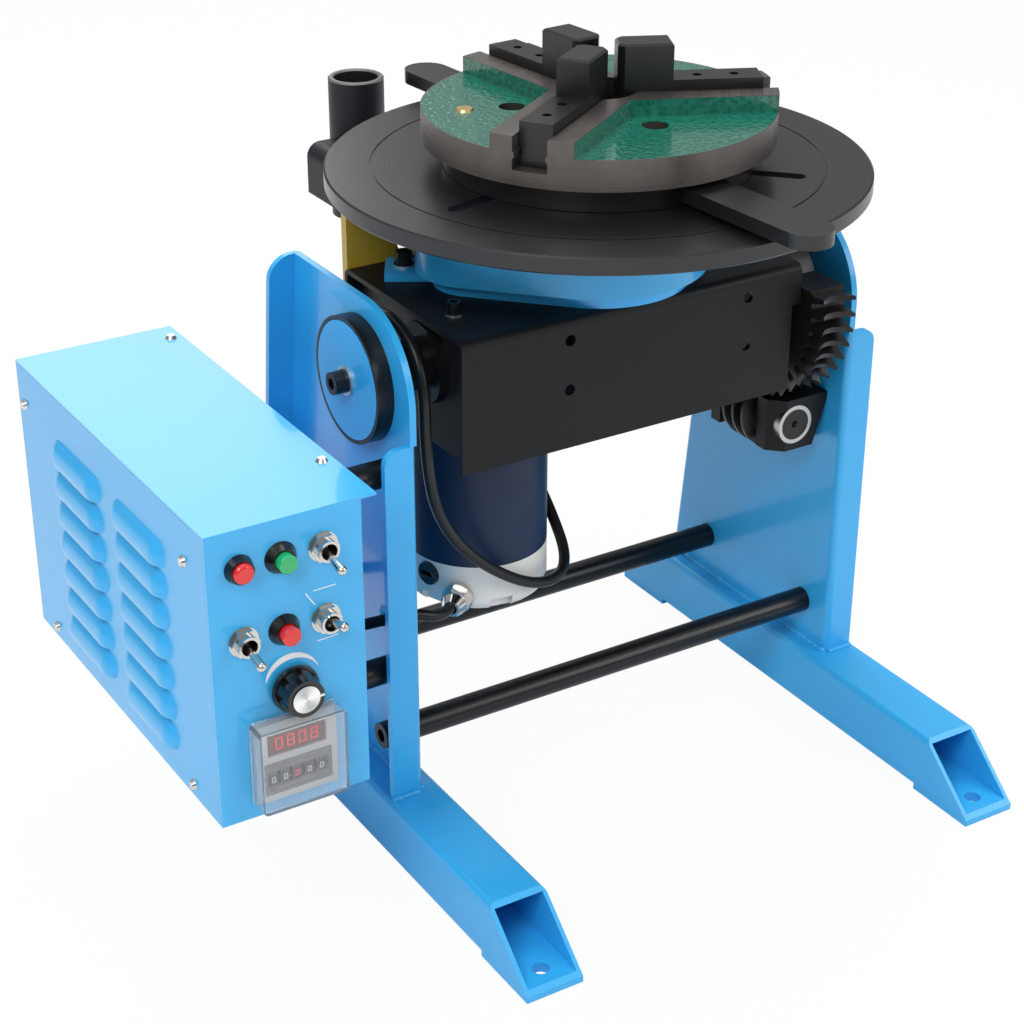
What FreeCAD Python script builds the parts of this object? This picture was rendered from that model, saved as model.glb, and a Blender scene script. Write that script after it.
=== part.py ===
import FreeCAD, Part
import math
import os
import Sketcher

# Bench welding positioner: a tilting channel on two bent plates carries a motor-driven
# turntable and a three-jaw scroll chuck. X runs along the tilt axis, -Y is the front
# (the control panel's side), +Z is up. The origin is the centre of the four anchor
# holes, on the floor. All sizes are in millimetres.

V = FreeCAD.Vector
X_AXIS, Y_AXIS, Z_AXIS = V(1, 0, 0), V(0, 1, 0), V(0, 0, 1)

SIZES = [
    # feet, side frames and cross rods
    ("foot_length", 366), ("foot_width", 36), ("foot_height", 36), ("foot_wall", 2.5),
    ("foot_slope", 41), ("foot_track", 156), ("foot_corner", 4),
    ("pad_length", 48), ("pad_thick", 4), ("anchor_inset", 15), ("anchor_radius", 5),
    ("plate_gap", 150), ("plate_thick", 4), ("flange_width", 20), ("bend_radius", 4),
    ("frame_top", 333), ("frame_front", 53), ("frame_rear_top", 83),
    ("frame_rear_foot", 118), ("frame_corner", 50), ("flange_top", 264),
    ("flange_corner", 9), ("rear_corner", 15),
    ("rod_radius", 8), ("rod_height", 67.5), ("rod_front", 26.5), ("rod_rear", 78),
    ("rod_stub", 9), ("rod_bore", 4), ("rod_bore_depth", 14),
    ("bar_front", 37), ("bar_low", 119), ("bar_high", 244),
    ("cable_hole", 7), ("low_cable_front", 19), ("low_cable_height", 142),
    ("rear_cable_offset", 16), ("rear_cable_height", 150),
    # tilt axis, its bearings and the worm drive
    ("tilt_y", 24), ("tilt_z", 286), ("journal_radius", 15), ("running_gap", 0.05),
    ("free_gap", 0.4), ("ring_radius", 36.5), ("ring_thick", 10), ("disc_radius", 34),
    ("disc_thick", 6), ("pivot_bolt_radius", 4), ("pivot_head_radius", 6.5),
    ("pivot_head_height", 8), ("washer_radius", 8.5), ("washer_thick", 1.6),
    ("worm_module", 3), ("wheel_teeth", 42), ("wheel_width", 24), ("wheel_x", 126),
    ("wheel_cut_height", 14), ("wheel_hub_radius", 34),
    ("worm_pitch_radius", 20), ("worm_length", 36), ("worm_shaft_radius", 10),
    ("block_width", 40), ("block_height", 34), ("block_depth", 18),
    ("block_chamfer", 9), ("bush_wall", 2.5), ("worm_tail", 128),
    ("handwheel_radius", 50), ("handwheel_rim", 6), ("handwheel_hub", 14),
    # tilting channel
    ("channel_length", 232), ("channel_left", 120), ("channel_front", 51),
    ("channel_rear", 84), ("channel_top", 316), ("channel_bottom", 237),
    ("channel_wall", 3), ("channel_bend", 5), ("notch_width", 6), ("notch_height", 54),
    ("end_inset", 8), ("end_thick", 6),
    ("hole_left", 50), ("hole_right", 73), ("hole_high", 303), ("hole_low", 273),
    ("hole_radius", 3.4),
    # gear case, spindle and motor
    ("base_thick", 5), ("case_bottom", 325), ("case_floor", 2.5), ("neck_inset", 10),
    ("case_radius", 65), ("case_wall", 4), ("case_lobe", 34),
    ("case_top", 370), ("ear_x", 95), ("ear_y", 57), ("ear_half", 13),
    ("gear_module", 1.5), ("gear_teeth", 76), ("pinion_teeth", 19), ("gear_width", 14),
    ("gear_level", 338), ("pinion_angle", 159.5), ("spindle_radius", 15),
    ("spindle_bore", 8), ("bearing_radius", 26), ("bearing_width", 12),
    ("tube_wall", 4), ("tube_bottom", 246), ("motor_radius", 43), ("motor_bottom", 152),
    ("motor_cap_bottom", 122), ("motor_shaft", 6), ("gland_height", 132.5),
    # turntable and chuck
    ("table_top", 384), ("table_thick", 10), ("table_radius", 155), ("table_bore", 22),
    ("slot_inner", 62), ("slot_outer", 118), ("slot_radius", 4.5), ("slot_angle", 74.5),
    ("hub_radius", 34), ("hub_drop", 3), ("flange_thick", 7), ("chuck_radius", 100), ("chuck_bottom", 399.5),
    ("chuck_floor", 417), ("chuck_top", 426), ("way_width", 48), ("jaw_slot", 20),
    ("jaw_angle", 95), ("chuck_bore", 22), ("chuck_hole_circle", 49),
    ("chuck_hole_radius", 5.5), ("chuck_hole_sink", 7.5), ("plug_radius", 5.2),
    ("scroll_bottom", 388), ("scroll_thick", 8), ("scroll_inner", 50),
    ("scroll_radius", 88), ("lever_reach", 188), ("lever_width", 27), ("lever_angle", 94),
    ("jaw_width", 19.2), ("jaw_inner", 9), ("jaw_outer", 91), ("jaw_bottom", 408),
    ("jaw_step", 432), ("jaw_top", 452.5), ("jaw_block", 40), ("jaw_rib", 2),
    ("jaw_nose", 3.6),
    ("jaw_hole_a", 55), ("jaw_hole_b", 76), ("jaw_hole_radius", 2.6),
    # control box and what its panel carries
    ("box_outer", 303), ("box_inner", 216), ("lid_inner", 207), ("box_front", 89),
    ("box_rear", 167), ("box_bottom", 106), ("box_top", 277), ("sheet_thick", 1.5),
    ("box_lip", 14), ("louvre_length", 66), ("louvre_radius", 14), ("louvre_rise", 5),
    ("louvre_mouth", 4.5), ("louvre_pitch", 18.5), ("louvre_low", 129), ("louvre_rear", 82),
    ("louvre_front", -3), ("col_left", 285), ("col_middle", 262), ("col_right", 238.5),
    ("row_top", 255), ("row_middle", 213.5), ("bezel_radius", 9), ("bezel_height", 5),
    ("button_radius", 5.2), ("lamp_bezel_radius", 8),
    ("knob_x", 258.5), ("knob_z", 178.5), ("knob_radius", 12), ("knob_height", 12.5),
    ("timer_x", 260), ("timer_z", 139), ("timer_size", 42), ("cover_size", 50),
    ("cover_depth", 13), ("cover_wall", 1.3), ("cover_gap", 0.3),
    # torch holder
    ("torch_x", 46), ("torch_y", 204), ("torch_radius", 17.5), ("torch_bore", 13.8),
    ("torch_top", 389), ("torch_bottom", 300), ("bracket_thick", 6), ("arm_left", 84),
    ("arm_width", 28), ("arm_bottom", 321), ("arm_top", 353),
    # cables
    ("cable_radius", 3.4),
]


# ---------------------------------------------------------------- document helpers

def make_sheet(doc):
    """The driving dimensions, one row each, with the name as the cell's alias."""
    sheet = doc.addObject("Spreadsheet::Sheet", "dims")
    for row, (name, value) in enumerate(SIZES, start=1):
        sheet.set(f"A{row}", name)
        sheet.set(f"B{row}", str(value))
        sheet.setAlias(f"B{row}", name)
    doc.recompute()
    return sheet


def bind(obj, **expressions):
    """Ties properties to the sheet; x, y, z stand for the placement's base."""
    for name, text in expressions.items():
        path = f"Placement.Base.{name}" if name in ("x", "y", "z") else name
        obj.setExpression(path, text)
    return obj


def turned(obj, axis):
    """Turns a primitive that stands along Z so that it lies along X or Y."""
    if axis == "X":
        obj.Placement = FreeCAD.Placement(V(), FreeCAD.Rotation(Y_AXIS, 90))
    if axis == "Y":
        obj.Placement = FreeCAD.Placement(V(), FreeCAD.Rotation(X_AXIS, -90))
    return obj


def cylinder(doc, name, radius, height, at, axis="Z"):
    obj = turned(doc.addObject("Part::Cylinder", name), axis)
    bind(obj, Radius=radius, Height=height)
    return bind(obj, x=at[0], y=at[1], z=at[2])


def block(doc, name, size, at):
    obj = doc.addObject("Part::Box", name)
    bind(obj, Length=size[0], Width=size[1], Height=size[2])
    return bind(obj, x=at[0], y=at[1], z=at[2])


def cut(doc, name, base, tools):
    """base minus tools; several tools are fused first."""
    tool = tools[0]
    if len(tools) > 1:
        tool = doc.addObject("Part::MultiFuse", name + "_tools")
        tool.Shapes = tools
    obj = doc.addObject("Part::Cut", name)
    obj.Base, obj.Tool = base, tool
    return obj


def fuse(doc, name, shapes):
    obj = doc.addObject("Part::MultiFuse", name)
    obj.Shapes = shapes
    obj.Refine = True
    return obj


def solid(doc, name, shape):
    """A Part::Feature for forms that no primitive or sketch gives."""
    obj = doc.addObject("Part::Feature", name)
    obj.Shape = shape
    return obj


def body(doc, name):
    return doc.addObject("PartDesign::Body", name)


def sketch(owner, name, role, offset=None):
    """A sketch on one of the body's own origin planes."""
    obj = owner.newObject("Sketcher::SketchObject", name)
    plane = next(f for f in owner.Origin.OriginFeatures if f.Role == role)
    obj.AttachmentSupport = [(plane, "")]
    obj.MapMode = "FlatFace"
    if offset:
        obj.setExpression("AttachmentOffset.Base.z", offset)
    return obj


def pin_point(obj, geo, point, start, expressions):
    """Holds one sketch point at a place worked out from the sheet."""
    for kind, value, text in zip(("DistanceX", "DistanceY"), start, expressions):
        index = obj.addConstraint(Sketcher.Constraint(kind, -1, 1, geo, point, value))
        obj.setExpression(f"Constraints[{index}]", text)


def polygon(obj, corners):
    """A closed outline; it starts as a small ring and its corners are then pinned."""
    count = len(corners)
    ring = [V(10 * math.cos(math.tau * i / count), 10 * math.sin(math.tau * i / count), 0)
            for i in range(count)]
    first = obj.GeometryCount
    for i in range(count):
        obj.addGeometry(Part.LineSegment(ring[i], ring[(i + 1) % count]), False)
    for i in range(count):
        following = first + (i + 1) % count
        obj.addConstraint(Sketcher.Constraint("Coincident", first + i, 2, following, 1))
    for i, corner in enumerate(corners):
        pin_point(obj, first + i, 1, (ring[i].x, ring[i].y), corner)


def rectangle(obj, low, high):
    polygon(obj, [(low[0], low[1]), (high[0], low[1]), (high[0], high[1]), (low[0], high[1])])


def circle(obj, centre, radius):
    geo = obj.addGeometry(Part.Circle(V(1, 1, 0), Z_AXIS, 5), False)
    pin_point(obj, geo, 3, (1, 1), centre)
    index = obj.addConstraint(Sketcher.Constraint("Radius", geo, 5))
    obj.setExpression(f"Constraints[{index}]", radius)


def pad(owner, profile, name, length, side="One side", reverse=False):
    obj = owner.newObject("PartDesign::Pad", name)
    obj.Profile = profile
    obj.SideType = side
    obj.Reversed = reverse
    return bind(obj, Length=length)


def pocket(owner, profile, name, length=None, side="One side", reverse=False):
    obj = owner.newObject("PartDesign::Pocket", name)
    obj.Profile = profile
    obj.SideType = side
    obj.Reversed = reverse
    if length is None:
        obj.Type = "ThroughAll"
        return obj
    return bind(obj, Length=length)


def edges_at(feature, test):
    """Names of the feature's edges whose two ends and middle all pass the test."""
    names = []
    for index, edge in enumerate(feature.Shape.Edges, start=1):
        points = [vertex.Point for vertex in edge.Vertexes] + [edge.CenterOfMass]
        if all(test(point) for point in points):
            names.append(f"Edge{index}")
    return names


def fillet(owner, feature, name, test, radius):
    owner.Document.recompute()
    obj = owner.newObject("PartDesign::Fillet", name)
    obj.Base = (feature, edges_at(feature, test))
    return bind(obj, Radius=radius)


def chamfer(owner, feature, name, test, size):
    owner.Document.recompute()
    obj = owner.newObject("PartDesign::Chamfer", name)
    obj.Base = (feature, edges_at(feature, test))
    return bind(obj, Size=size)


def near(a, b):
    return abs(a - b) < 0.05


# ---------------------------------------------------------------- shape helpers

def rod(radius, length, at, axis=Z_AXIS):
    return Part.makeCylinder(radius, length, at, axis)


def about_z(shape, degrees, centre=V()):
    """A copy of the shape turned about a vertical axis."""
    copy = shape.copy()
    copy.rotate(centre, Z_AXIS, degrees)
    return copy


def prism(points, lift):
    """A closed wire through the points, extruded along lift."""
    face = Part.Face(Part.makePolygon(points + [points[0]]))
    return face.extrude(lift)


def slot_prism(start, end, radius, lift):
    """A round-ended bar between two points on one level, extruded by lift."""
    along = (end - start).normalize()
    side = along.cross(Z_AXIS) * radius
    edges = [
        Part.makeLine(start + side, end + side),
        Part.Arc(end + side, end + along * radius, end - side).toShape(),
        Part.makeLine(end - side, start - side),
        Part.Arc(start - side, start - along * radius, start + side).toShape(),
    ]
    return Part.Face(Part.Wire(edges)).extrude(lift)


def socket_screw(radius, head_radius, head_height, length, at, axis):
    """A socket cap screw: head above the seat at `at`, shank running the other way."""
    head = rod(head_radius, head_height, at, axis)
    shank = rod(radius, length, at - axis * length, axis)
    points = [at + axis * (head_height * 0.4) + FreeCAD.Rotation(Z_AXIS, axis).multVec(
        V(math.cos(math.radians(a)), math.sin(math.radians(a)), 0) * head_radius * 0.55)
        for a in range(0, 360, 60)]
    recess = prism(points, axis * head_height)
    return head.cut(recess).fuse(shank)


def spur_gear(module, teeth, width, bore, centre, phase=0.0, backlash=0.25):
    """Spur gear with straight-flanked teeth; phase turns the first tooth, in degrees."""
    pitch, outer, root = module * teeth / 2, module * (teeth / 2 + 1), module * (teeth / 2 - 1.25)
    step = math.tau / teeth
    points = []
    for i in range(teeth):
        middle = i * step + math.radians(phase)
        half = (step / 4) - backlash / (2 * pitch)
        for radius, offset in ((root, -half * 1.55), (outer, -half * 0.5),
                               (outer, half * 0.5), (root, half * 1.55)):
            angle = middle + offset
            points.append(centre + V(math.cos(angle), math.sin(angle), 0) * radius)
    gear = prism(points, Z_AXIS * width)
    return gear.cut(rod(bore, width, centre))


def pipe_route(points):
    """Straight runs joined by tangent arcs, each arc as large as 0.45 of its shorter run."""
    edges, start = [], points[0]
    for before, corner, after in zip(points, points[1:], points[2:]):
        arrive, leave = (corner - before).normalize(), (after - corner).normalize()
        half_turn = arrive.getAngle(leave) / 2
        run = min((corner - before).Length, (after - corner).Length)
        reach = 0.45 * run
        radius = reach / math.tan(half_turn)
        print(f"  bend radius {radius:.1f} mm, turn {math.degrees(2 * half_turn):.0f} deg")
        enter, leave_at = corner - arrive * reach, corner + leave * reach
        to_centre = (leave - arrive).normalize()
        middle = corner + to_centre * (radius / math.cos(half_turn) - radius)
        edges.append(Part.makeLine(start, enter))
        edges.append(Part.Arc(enter, middle, leave_at).toShape())
        start = leave_at
    edges.append(Part.makeLine(start, points[-1]))
    return Part.Wire(edges)


def cable(points, radius):
    """A round cable swept along the route through the points."""
    route = pipe_route(points)
    start = (points[1] - points[0]).normalize()
    ring = Part.Wire(Part.makeCircle(radius, points[0], start))
    swept = route.makePipeShell([ring], True, False)
    length = route.Length
    volume = math.pi * radius ** 2 * length
    print(f"  cable length {length:.1f} mm, volume {swept.Volume:.0f} of {volume:.0f} mm3")
    return swept


# ---------------------------------------------------------------- stand

def foot(doc, name, side):
    """Square tube with slope-cut open ends on two drilled pads."""
    own = body(doc, name)
    side_view = sketch(own, name + "_side", "YZ_Plane")
    polygon(side_view, [
        ("-dims.foot_length / 2", "dims.pad_thick"),
        ("dims.foot_length / 2", "dims.pad_thick"),
        ("dims.foot_length / 2 - dims.foot_slope", "dims.pad_thick + dims.foot_height"),
        ("-dims.foot_length / 2 + dims.foot_slope", "dims.pad_thick + dims.foot_height"),
    ])
    tube = pad(own, side_view, name + "_tube", "dims.foot_width", "Symmetric")
    half = doc.dims.foot_width / 2

    def on_corner(point):
        return near(abs(point.x), half) and abs(point.z - 22) > 17.9

    rounded = fillet(own, tube, name + "_rounded",
                     lambda p: on_corner(p) and p.z > 39, "dims.foot_corner")
    hollow = sketch(own, name + "_hollow", "XZ_Plane")
    rectangle(hollow, ("-dims.foot_width / 2 + dims.foot_wall", "dims.pad_thick + dims.foot_wall"),
              ("dims.foot_width / 2 - dims.foot_wall",
               "dims.pad_thick + dims.foot_height - dims.foot_wall"))
    pocket(own, hollow, name + "_bore", side="Symmetric")
    pads = sketch(own, name + "_pads_plan", "XY_Plane")
    for end in ("-", ""):
        outer = f"{end}dims.foot_length / 2"
        inner = f"{end}(dims.foot_length / 2 - dims.pad_length)"
        low, high = (outer, inner) if end else (inner, outer)
        rectangle(pads, ("-dims.foot_width / 2", low), ("dims.foot_width / 2", high))
    pad(own, pads, name + "_pads", "dims.pad_thick")
    holes = sketch(own, name + "_anchor_plan", "XY_Plane")
    for end in ("-", ""):
        circle(holes, ("0", f"{end}(dims.foot_length / 2 - dims.anchor_inset)"),
               "dims.anchor_radius")
    pocket(own, holes, name + "_anchors", side="Symmetric")
    bind(own, x=f"{side} * dims.foot_track")
    return rounded


def frame(doc, name, side):
    """Bent side plate: a web with a front and a rear flange turned outward."""
    own = body(doc, name + "_plate")
    reverse = side < 0
    front, rear_top = "dims.tilt_y - dims.frame_front", "dims.tilt_y + dims.frame_rear_top"
    rear_foot = "dims.tilt_y + dims.frame_rear_foot"
    ground = "dims.pad_thick + dims.foot_height"
    web_view = sketch(own, name + "_web_side", "YZ_Plane")
    polygon(web_view, [(front, ground), (rear_foot, ground), (rear_top, "dims.frame_top"),
                       (front, "dims.frame_top")])
    web = pad(own, web_view, name + "_web", "dims.plate_thick", reverse=reverse)
    d = doc.dims
    corner_y = d.tilt_y - d.frame_front
    web = fillet(own, web, name + "_web_corner",
                 lambda p: near(p.y, corner_y) and near(p.z, d.frame_top), "dims.frame_corner")
    strip = sketch(own, name + "_front_side", "YZ_Plane")
    rectangle(strip, (front, ground), (front + " + dims.plate_thick", "dims.flange_top"))
    front_flange = pad(own, strip, name + "_front", "dims.flange_width", reverse=reverse)
    out = side * d.flange_width
    front_flange = fillet(own, front_flange, name + "_front_corner",
                          lambda p: near(p.x, out) and near(p.z, d.flange_top),
                          "dims.flange_corner")
    slant = sketch(own, name + "_rear_side", "YZ_Plane")
    polygon(slant, [(rear_foot + " - dims.plate_thick", ground), (rear_foot, ground),
                    (rear_top, "dims.frame_top"),
                    (rear_top + " - dims.plate_thick", "dims.frame_top")])
    rear_flange = pad(own, slant, name + "_rear", "dims.flange_width", reverse=reverse)
    rear_flange = fillet(own, rear_flange, name + "_rear_corner",
                         lambda p: near(p.x, out) and near(p.z, d.frame_top),
                         "dims.rear_corner")
    fillet(own, rear_flange, name + "_rear_bend",
           lambda p: near(p.x, 0) and p.y > d.tilt_y + d.frame_rear_top - 0.1,
           "dims.bend_radius")
    holes = sketch(own, name + "_hole_side", "YZ_Plane")
    circle(holes, ("dims.tilt_y", "dims.tilt_z"), "dims.journal_radius + dims.running_gap")
    if side < 0:
        circle(holes, ("dims.tilt_y - dims.rod_front", "dims.rod_height"), "dims.rod_radius")
        circle(holes, ("dims.tilt_y - dims.low_cable_front", "dims.low_cable_height"),
               "dims.cable_hole")
        circle(holes, ("dims.tilt_y + dims.rear_cable_offset", "dims.rear_cable_height"),
               "dims.cable_hole")
    pocket(own, holes, name + "_holes", side="Symmetric")
    bind(own, x=f"{side} * dims.plate_gap")
    cut(doc, name, own, [front_bend(doc, name, side, front, ground)])


def front_bend(doc, name, side, front, ground):
    """The sliver outside the front bend's radius, to be taken off the plate."""
    height = f"dims.flange_top - ({ground})"
    low_x = f"{side} * dims.plate_gap"
    if side < 0:
        low_x += " - dims.bend_radius"
    square = block(doc, name + "_bend_square", ("dims.bend_radius", "dims.bend_radius", height),
                   (low_x, front, ground))
    roller = cylinder(doc, name + "_bend_roller", "dims.bend_radius", height,
                      (f"{side} * (dims.plate_gap + dims.bend_radius)",
                       front + " + dims.bend_radius", ground))
    return cut(doc, name + "_bend_sliver", square, [roller])


def cross_rods(doc):
    """Two cross rods between the plates; the front one pokes out on the left."""
    front = cylinder(doc, "rod_front_bar", "dims.rod_radius",
                     "2 * dims.plate_gap + dims.plate_thick + dims.rod_stub",
                     ("-dims.plate_gap - dims.plate_thick - dims.rod_stub",
                      "dims.tilt_y - dims.rod_front", "dims.rod_height"), "X")
    bore = cylinder(doc, "rod_front_bore", "dims.rod_bore", "dims.rod_bore_depth",
                    ("-dims.plate_gap - dims.plate_thick - dims.rod_stub",
                     "dims.tilt_y - dims.rod_front", "dims.rod_height"), "X")
    front = cut(doc, "rod_front", front, [bore])
    rear = cylinder(doc, "rod_rear", "dims.rod_radius", "2 * dims.plate_gap",
                    ("-dims.plate_gap", "dims.tilt_y + dims.rod_rear", "dims.rod_height"), "X")
    fuse(doc, "tie_rods", [front, rear])


def box_bars(doc):
    """Two short bars that carry the control box off the left plate."""
    bars = [cylinder(doc, name, "dims.rod_radius",
                     "dims.box_inner - dims.plate_gap - dims.plate_thick",
                     ("-dims.box_inner", "dims.tilt_y - dims.bar_front", height), "X")
            for name, height in (("bar_low_bar", "dims.bar_low"),
                                 ("bar_high_bar", "dims.bar_high"))]
    fuse(doc, "box_bars", bars)


# ---------------------------------------------------------------- tilt axis

def left_pivot(doc, d):
    """Bearing ring on the plate, and the disc and bolt that hold the journal in it."""
    x = "-dims.plate_gap - dims.plate_thick - dims.ring_thick"
    ring = cylinder(doc, "ring_disc", "dims.ring_radius", "dims.ring_thick",
                    (x, "dims.tilt_y", "dims.tilt_z"), "X")
    seat = cylinder(doc, "ring_seat", "dims.disc_radius + dims.free_gap",
                    "dims.disc_thick + dims.free_gap", (x, "dims.tilt_y", "dims.tilt_z"), "X")
    hole = cylinder(doc, "ring_hole", "dims.journal_radius + dims.running_gap",
                    "dims.ring_thick", (x, "dims.tilt_y", "dims.tilt_z"), "X")
    cut(doc, "bearing_ring", ring, [seat, hole])
    disc = cylinder(doc, "disc_plain", "dims.disc_radius", "dims.disc_thick",
                    (x, "dims.tilt_y", "dims.tilt_z"), "X")
    drill = cylinder(doc, "disc_drill", "dims.pivot_bolt_radius", "dims.disc_thick",
                     (x, "dims.tilt_y", "dims.tilt_z"), "X")
    cut(doc, "pivot_disc", disc, [drill])
    seat_x = -d.plate_gap - d.plate_thick - d.ring_thick
    seat_at = V(seat_x - d.washer_thick, d.tilt_y, d.tilt_z)
    screw = socket_screw(d.pivot_bolt_radius, d.pivot_head_radius, d.pivot_head_height, 22,
                         seat_at, -X_AXIS)
    washer = rod(d.washer_radius, d.washer_thick, seat_at, X_AXIS).cut(
        rod(d.pivot_bolt_radius, d.washer_thick, seat_at, X_AXIS))
    solid(doc, "pivot_bolt", screw.fuse(washer))


def journals(doc, d):
    """Left and right journals, each a flange on the channel's end and a shaft."""
    centre_y, centre_z = d.tilt_y, d.tilt_z
    end = d.channel_left - d.end_inset
    left_tip = -d.plate_gap - d.plate_thick - d.ring_thick + d.disc_thick
    left = rod(d.journal_radius, -end - left_tip, V(left_tip, centre_y, centre_z), X_AXIS)
    left = left.fuse(rod(d.journal_radius + 9, 6, V(-end - 6, centre_y, centre_z), X_AXIS))
    left = left.cut(rod(d.pivot_bolt_radius, 22, V(left_tip, centre_y, centre_z), X_AXIS))
    right_end = d.channel_length - d.channel_left - d.end_inset - d.end_thick
    tip = d.plate_gap + d.plate_thick
    right = rod(d.journal_radius, tip - right_end, V(right_end, centre_y, centre_z), X_AXIS)
    solid(doc, "journals", Part.makeCompound([left, right]))


def wheel_edge(d):
    """Radius of the wheel's rim at its two faces, outside the throat."""
    bend = d.worm_pitch_radius - d.worm_module
    reach = math.sqrt(bend ** 2 - (d.wheel_width / 2) ** 2)
    return d.worm_module * d.wheel_teeth / 2 + d.worm_pitch_radius - reach


def worm_wheel_shape(d):
    """Throated sector: a concave rim gashed by slanted teeth, cut off above its hub."""
    pitch = d.worm_module * d.wheel_teeth / 2
    half = d.wheel_width / 2
    throat = pitch + d.worm_module
    edge = wheel_edge(d)
    profile = Part.Wire([
        Part.makeLine(V(-half, 0, d.journal_radius), V(-half, 0, edge)),
        Part.Arc(V(-half, 0, edge), V(0, 0, throat), V(half, 0, edge)).toShape(),
        Part.makeLine(V(half, 0, edge), V(half, 0, d.journal_radius)),
        Part.makeLine(V(half, 0, d.journal_radius), V(-half, 0, d.journal_radius)),
    ])
    blank = Part.Face(profile).revolve(V(), X_AXIS, 360)
    lead_angle = math.atan2(d.worm_module, 2 * d.worm_pitch_radius)
    root = pitch - 1.2 * d.worm_module
    gap = math.pi * d.worm_module * 0.5
    outline = [V(0, -gap * 0.36, root), V(0, gap * 0.36, root),
               V(0, gap * 0.95, edge + 1), V(0, -gap * 0.95, edge + 1)]
    cutters = []
    for i in range(int(d.wheel_teeth)):
        angle = 360 / d.wheel_teeth * i
        if math.cos(math.radians(angle)) * root < -d.wheel_cut_height - 3:
            continue
        cutter = prism([p + V(-half - 1, 0, 0) for p in outline], X_AXIS * (2 * half + 2))
        cutter.rotate(V(), Z_AXIS, -math.degrees(lead_angle))
        cutter.rotate(V(), X_AXIS, angle)
        cutters.append(cutter)
    size = 2 * throat + 20
    above = Part.makeBox(2 * half + 2, size, size,
                         V(-half - 1, -size / 2, -d.wheel_cut_height - size))
    sector = blank.cut(Part.makeCompound(cutters)).cut(above)
    hub = rod(d.wheel_hub_radius, 2 * half, V(-half, 0, 0), X_AXIS)
    hub = hub.cut(rod(d.journal_radius, 2 * half, V(-half, 0, 0), X_AXIS))
    return sector.fuse(hub).removeSplitter()


def worm_wheel(doc, d):
    """The wheel sits on the right journal, its lowest gash over the worm's axis."""
    shape = worm_wheel_shape(d)
    shape.rotate(V(), X_AXIS, 180)
    obj = solid(doc, "worm_wheel", shape)
    bind(obj, x="dims.wheel_x", y="dims.tilt_y", z="dims.tilt_z")


def worm_height(d):
    return d.tilt_z - d.worm_module * d.wheel_teeth / 2 - d.worm_pitch_radius


def worm_shape(d):
    """Single-start worm along Y: a core with a helical thread of trapezoid section."""
    lead = math.pi * d.worm_module
    root = d.worm_pitch_radius - 1.2 * d.worm_module
    core = rod(root, d.worm_length, V(0, 0, -d.worm_length / 2))
    turns = d.worm_length / lead - 1
    start = -turns * lead / 2
    helix = Part.makeHelix(lead, turns * lead, d.worm_pitch_radius)
    helix.translate(V(0, 0, start))
    half_root, half_tip, tip = lead * 0.26, lead * 0.12, d.worm_pitch_radius + d.worm_module * 0.9
    section = Part.makePolygon([V(root - 0.5, 0, start - half_root), V(tip, 0, start - half_tip),
                                V(tip, 0, start + half_tip), V(root - 0.5, 0, start + half_root),
                                V(root - 0.5, 0, start - half_root)])
    thread = Part.Wire(helix).makePipeShell([section], True, True)
    return core.fuse(thread), turns


def worm_shaft(doc, d):
    """Worm, its shaft through both bearing blocks and the tail to the handwheel."""
    worm, turns = worm_shape(d)
    worm.rotate(V(), Z_AXIS, -90 - 180 * turns)
    worm.rotate(V(), X_AXIS, -90)
    front = d.worm_length / 2 + d.free_gap
    ahead = rod(d.worm_shaft_radius, front + d.block_depth, V(0, 0, 0), -Y_AXIS)
    behind = rod(d.worm_shaft_radius, front + d.block_depth + 3, V(0, 0, 0), Y_AXIS)
    tail = rod(d.worm_shaft_radius * 0.8, d.worm_tail, V(0, 0, 0), Y_AXIS)
    drill = Part.makeCone(2.4, 0, 4, V(0, -front - d.block_depth, 0), Y_AXIS)
    shape = worm.fuse([ahead, behind, tail]).cut(drill)
    obj = solid(doc, "worm_shaft", shape)
    bind(obj, x="dims.wheel_x", y="dims.tilt_y")
    obj.setExpression("Placement.Base.z", "dims.tilt_z - dims.worm_module * dims.wheel_teeth / 2"
                      " - dims.worm_pitch_radius")


def worm_blocks(doc, d):
    """Two blocks welded to the right plate, relieved round the wheel, each with a bush."""
    gap = d.worm_length / 2 + 2 * d.free_gap
    relief = rod(wheel_edge(d) + 2 * d.free_gap, d.wheel_width + 4,
                 V(d.wheel_x - d.wheel_width / 2 - 2, d.tilt_y, d.tilt_z), X_AXIS)
    height, reach = worm_height(d), d.plate_gap - d.wheel_x
    bore = d.worm_shaft_radius + d.running_gap
    blocks, bushes = [], []
    for sign in (-1, 1):
        face = V(d.wheel_x, d.tilt_y + sign * (gap + d.block_depth), height)
        left = -d.block_width + reach
        half = d.block_height / 2
        corner = d.block_chamfer
        plan = [V(left + corner, 0, 0), V(reach, 0, 0), V(reach, d.block_depth, 0),
                V(left, d.block_depth, 0), V(left, corner, 0)]
        shape = prism([p + V(0, 0, -half) for p in plan], Z_AXIS * (2 * half))
        cutter = prism([V(reach - 10, -1, -half - 1), V(reach + 1, -1, -half - 1),
                        V(reach + 1, -1, half * 0.9)], Y_AXIS * (corner + 1))
        shape = shape.cut(cutter)
        if sign > 0:
            shape = shape.mirror(V(), Y_AXIS)
        shape.translate(face)
        hole = rod(bore + d.bush_wall, d.block_depth, face, -Y_AXIS * sign)
        blocks.append(shape.cut([hole, relief]))
        bush = rod(bore + d.bush_wall, d.block_depth, face, -Y_AXIS * sign)
        bushes.append(bush.cut(rod(bore, d.block_depth, face, -Y_AXIS * sign)))
    solid(doc, "worm_blocks", Part.makeCompound(blocks))
    solid(doc, "worm_bushes", Part.makeCompound(bushes))


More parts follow.
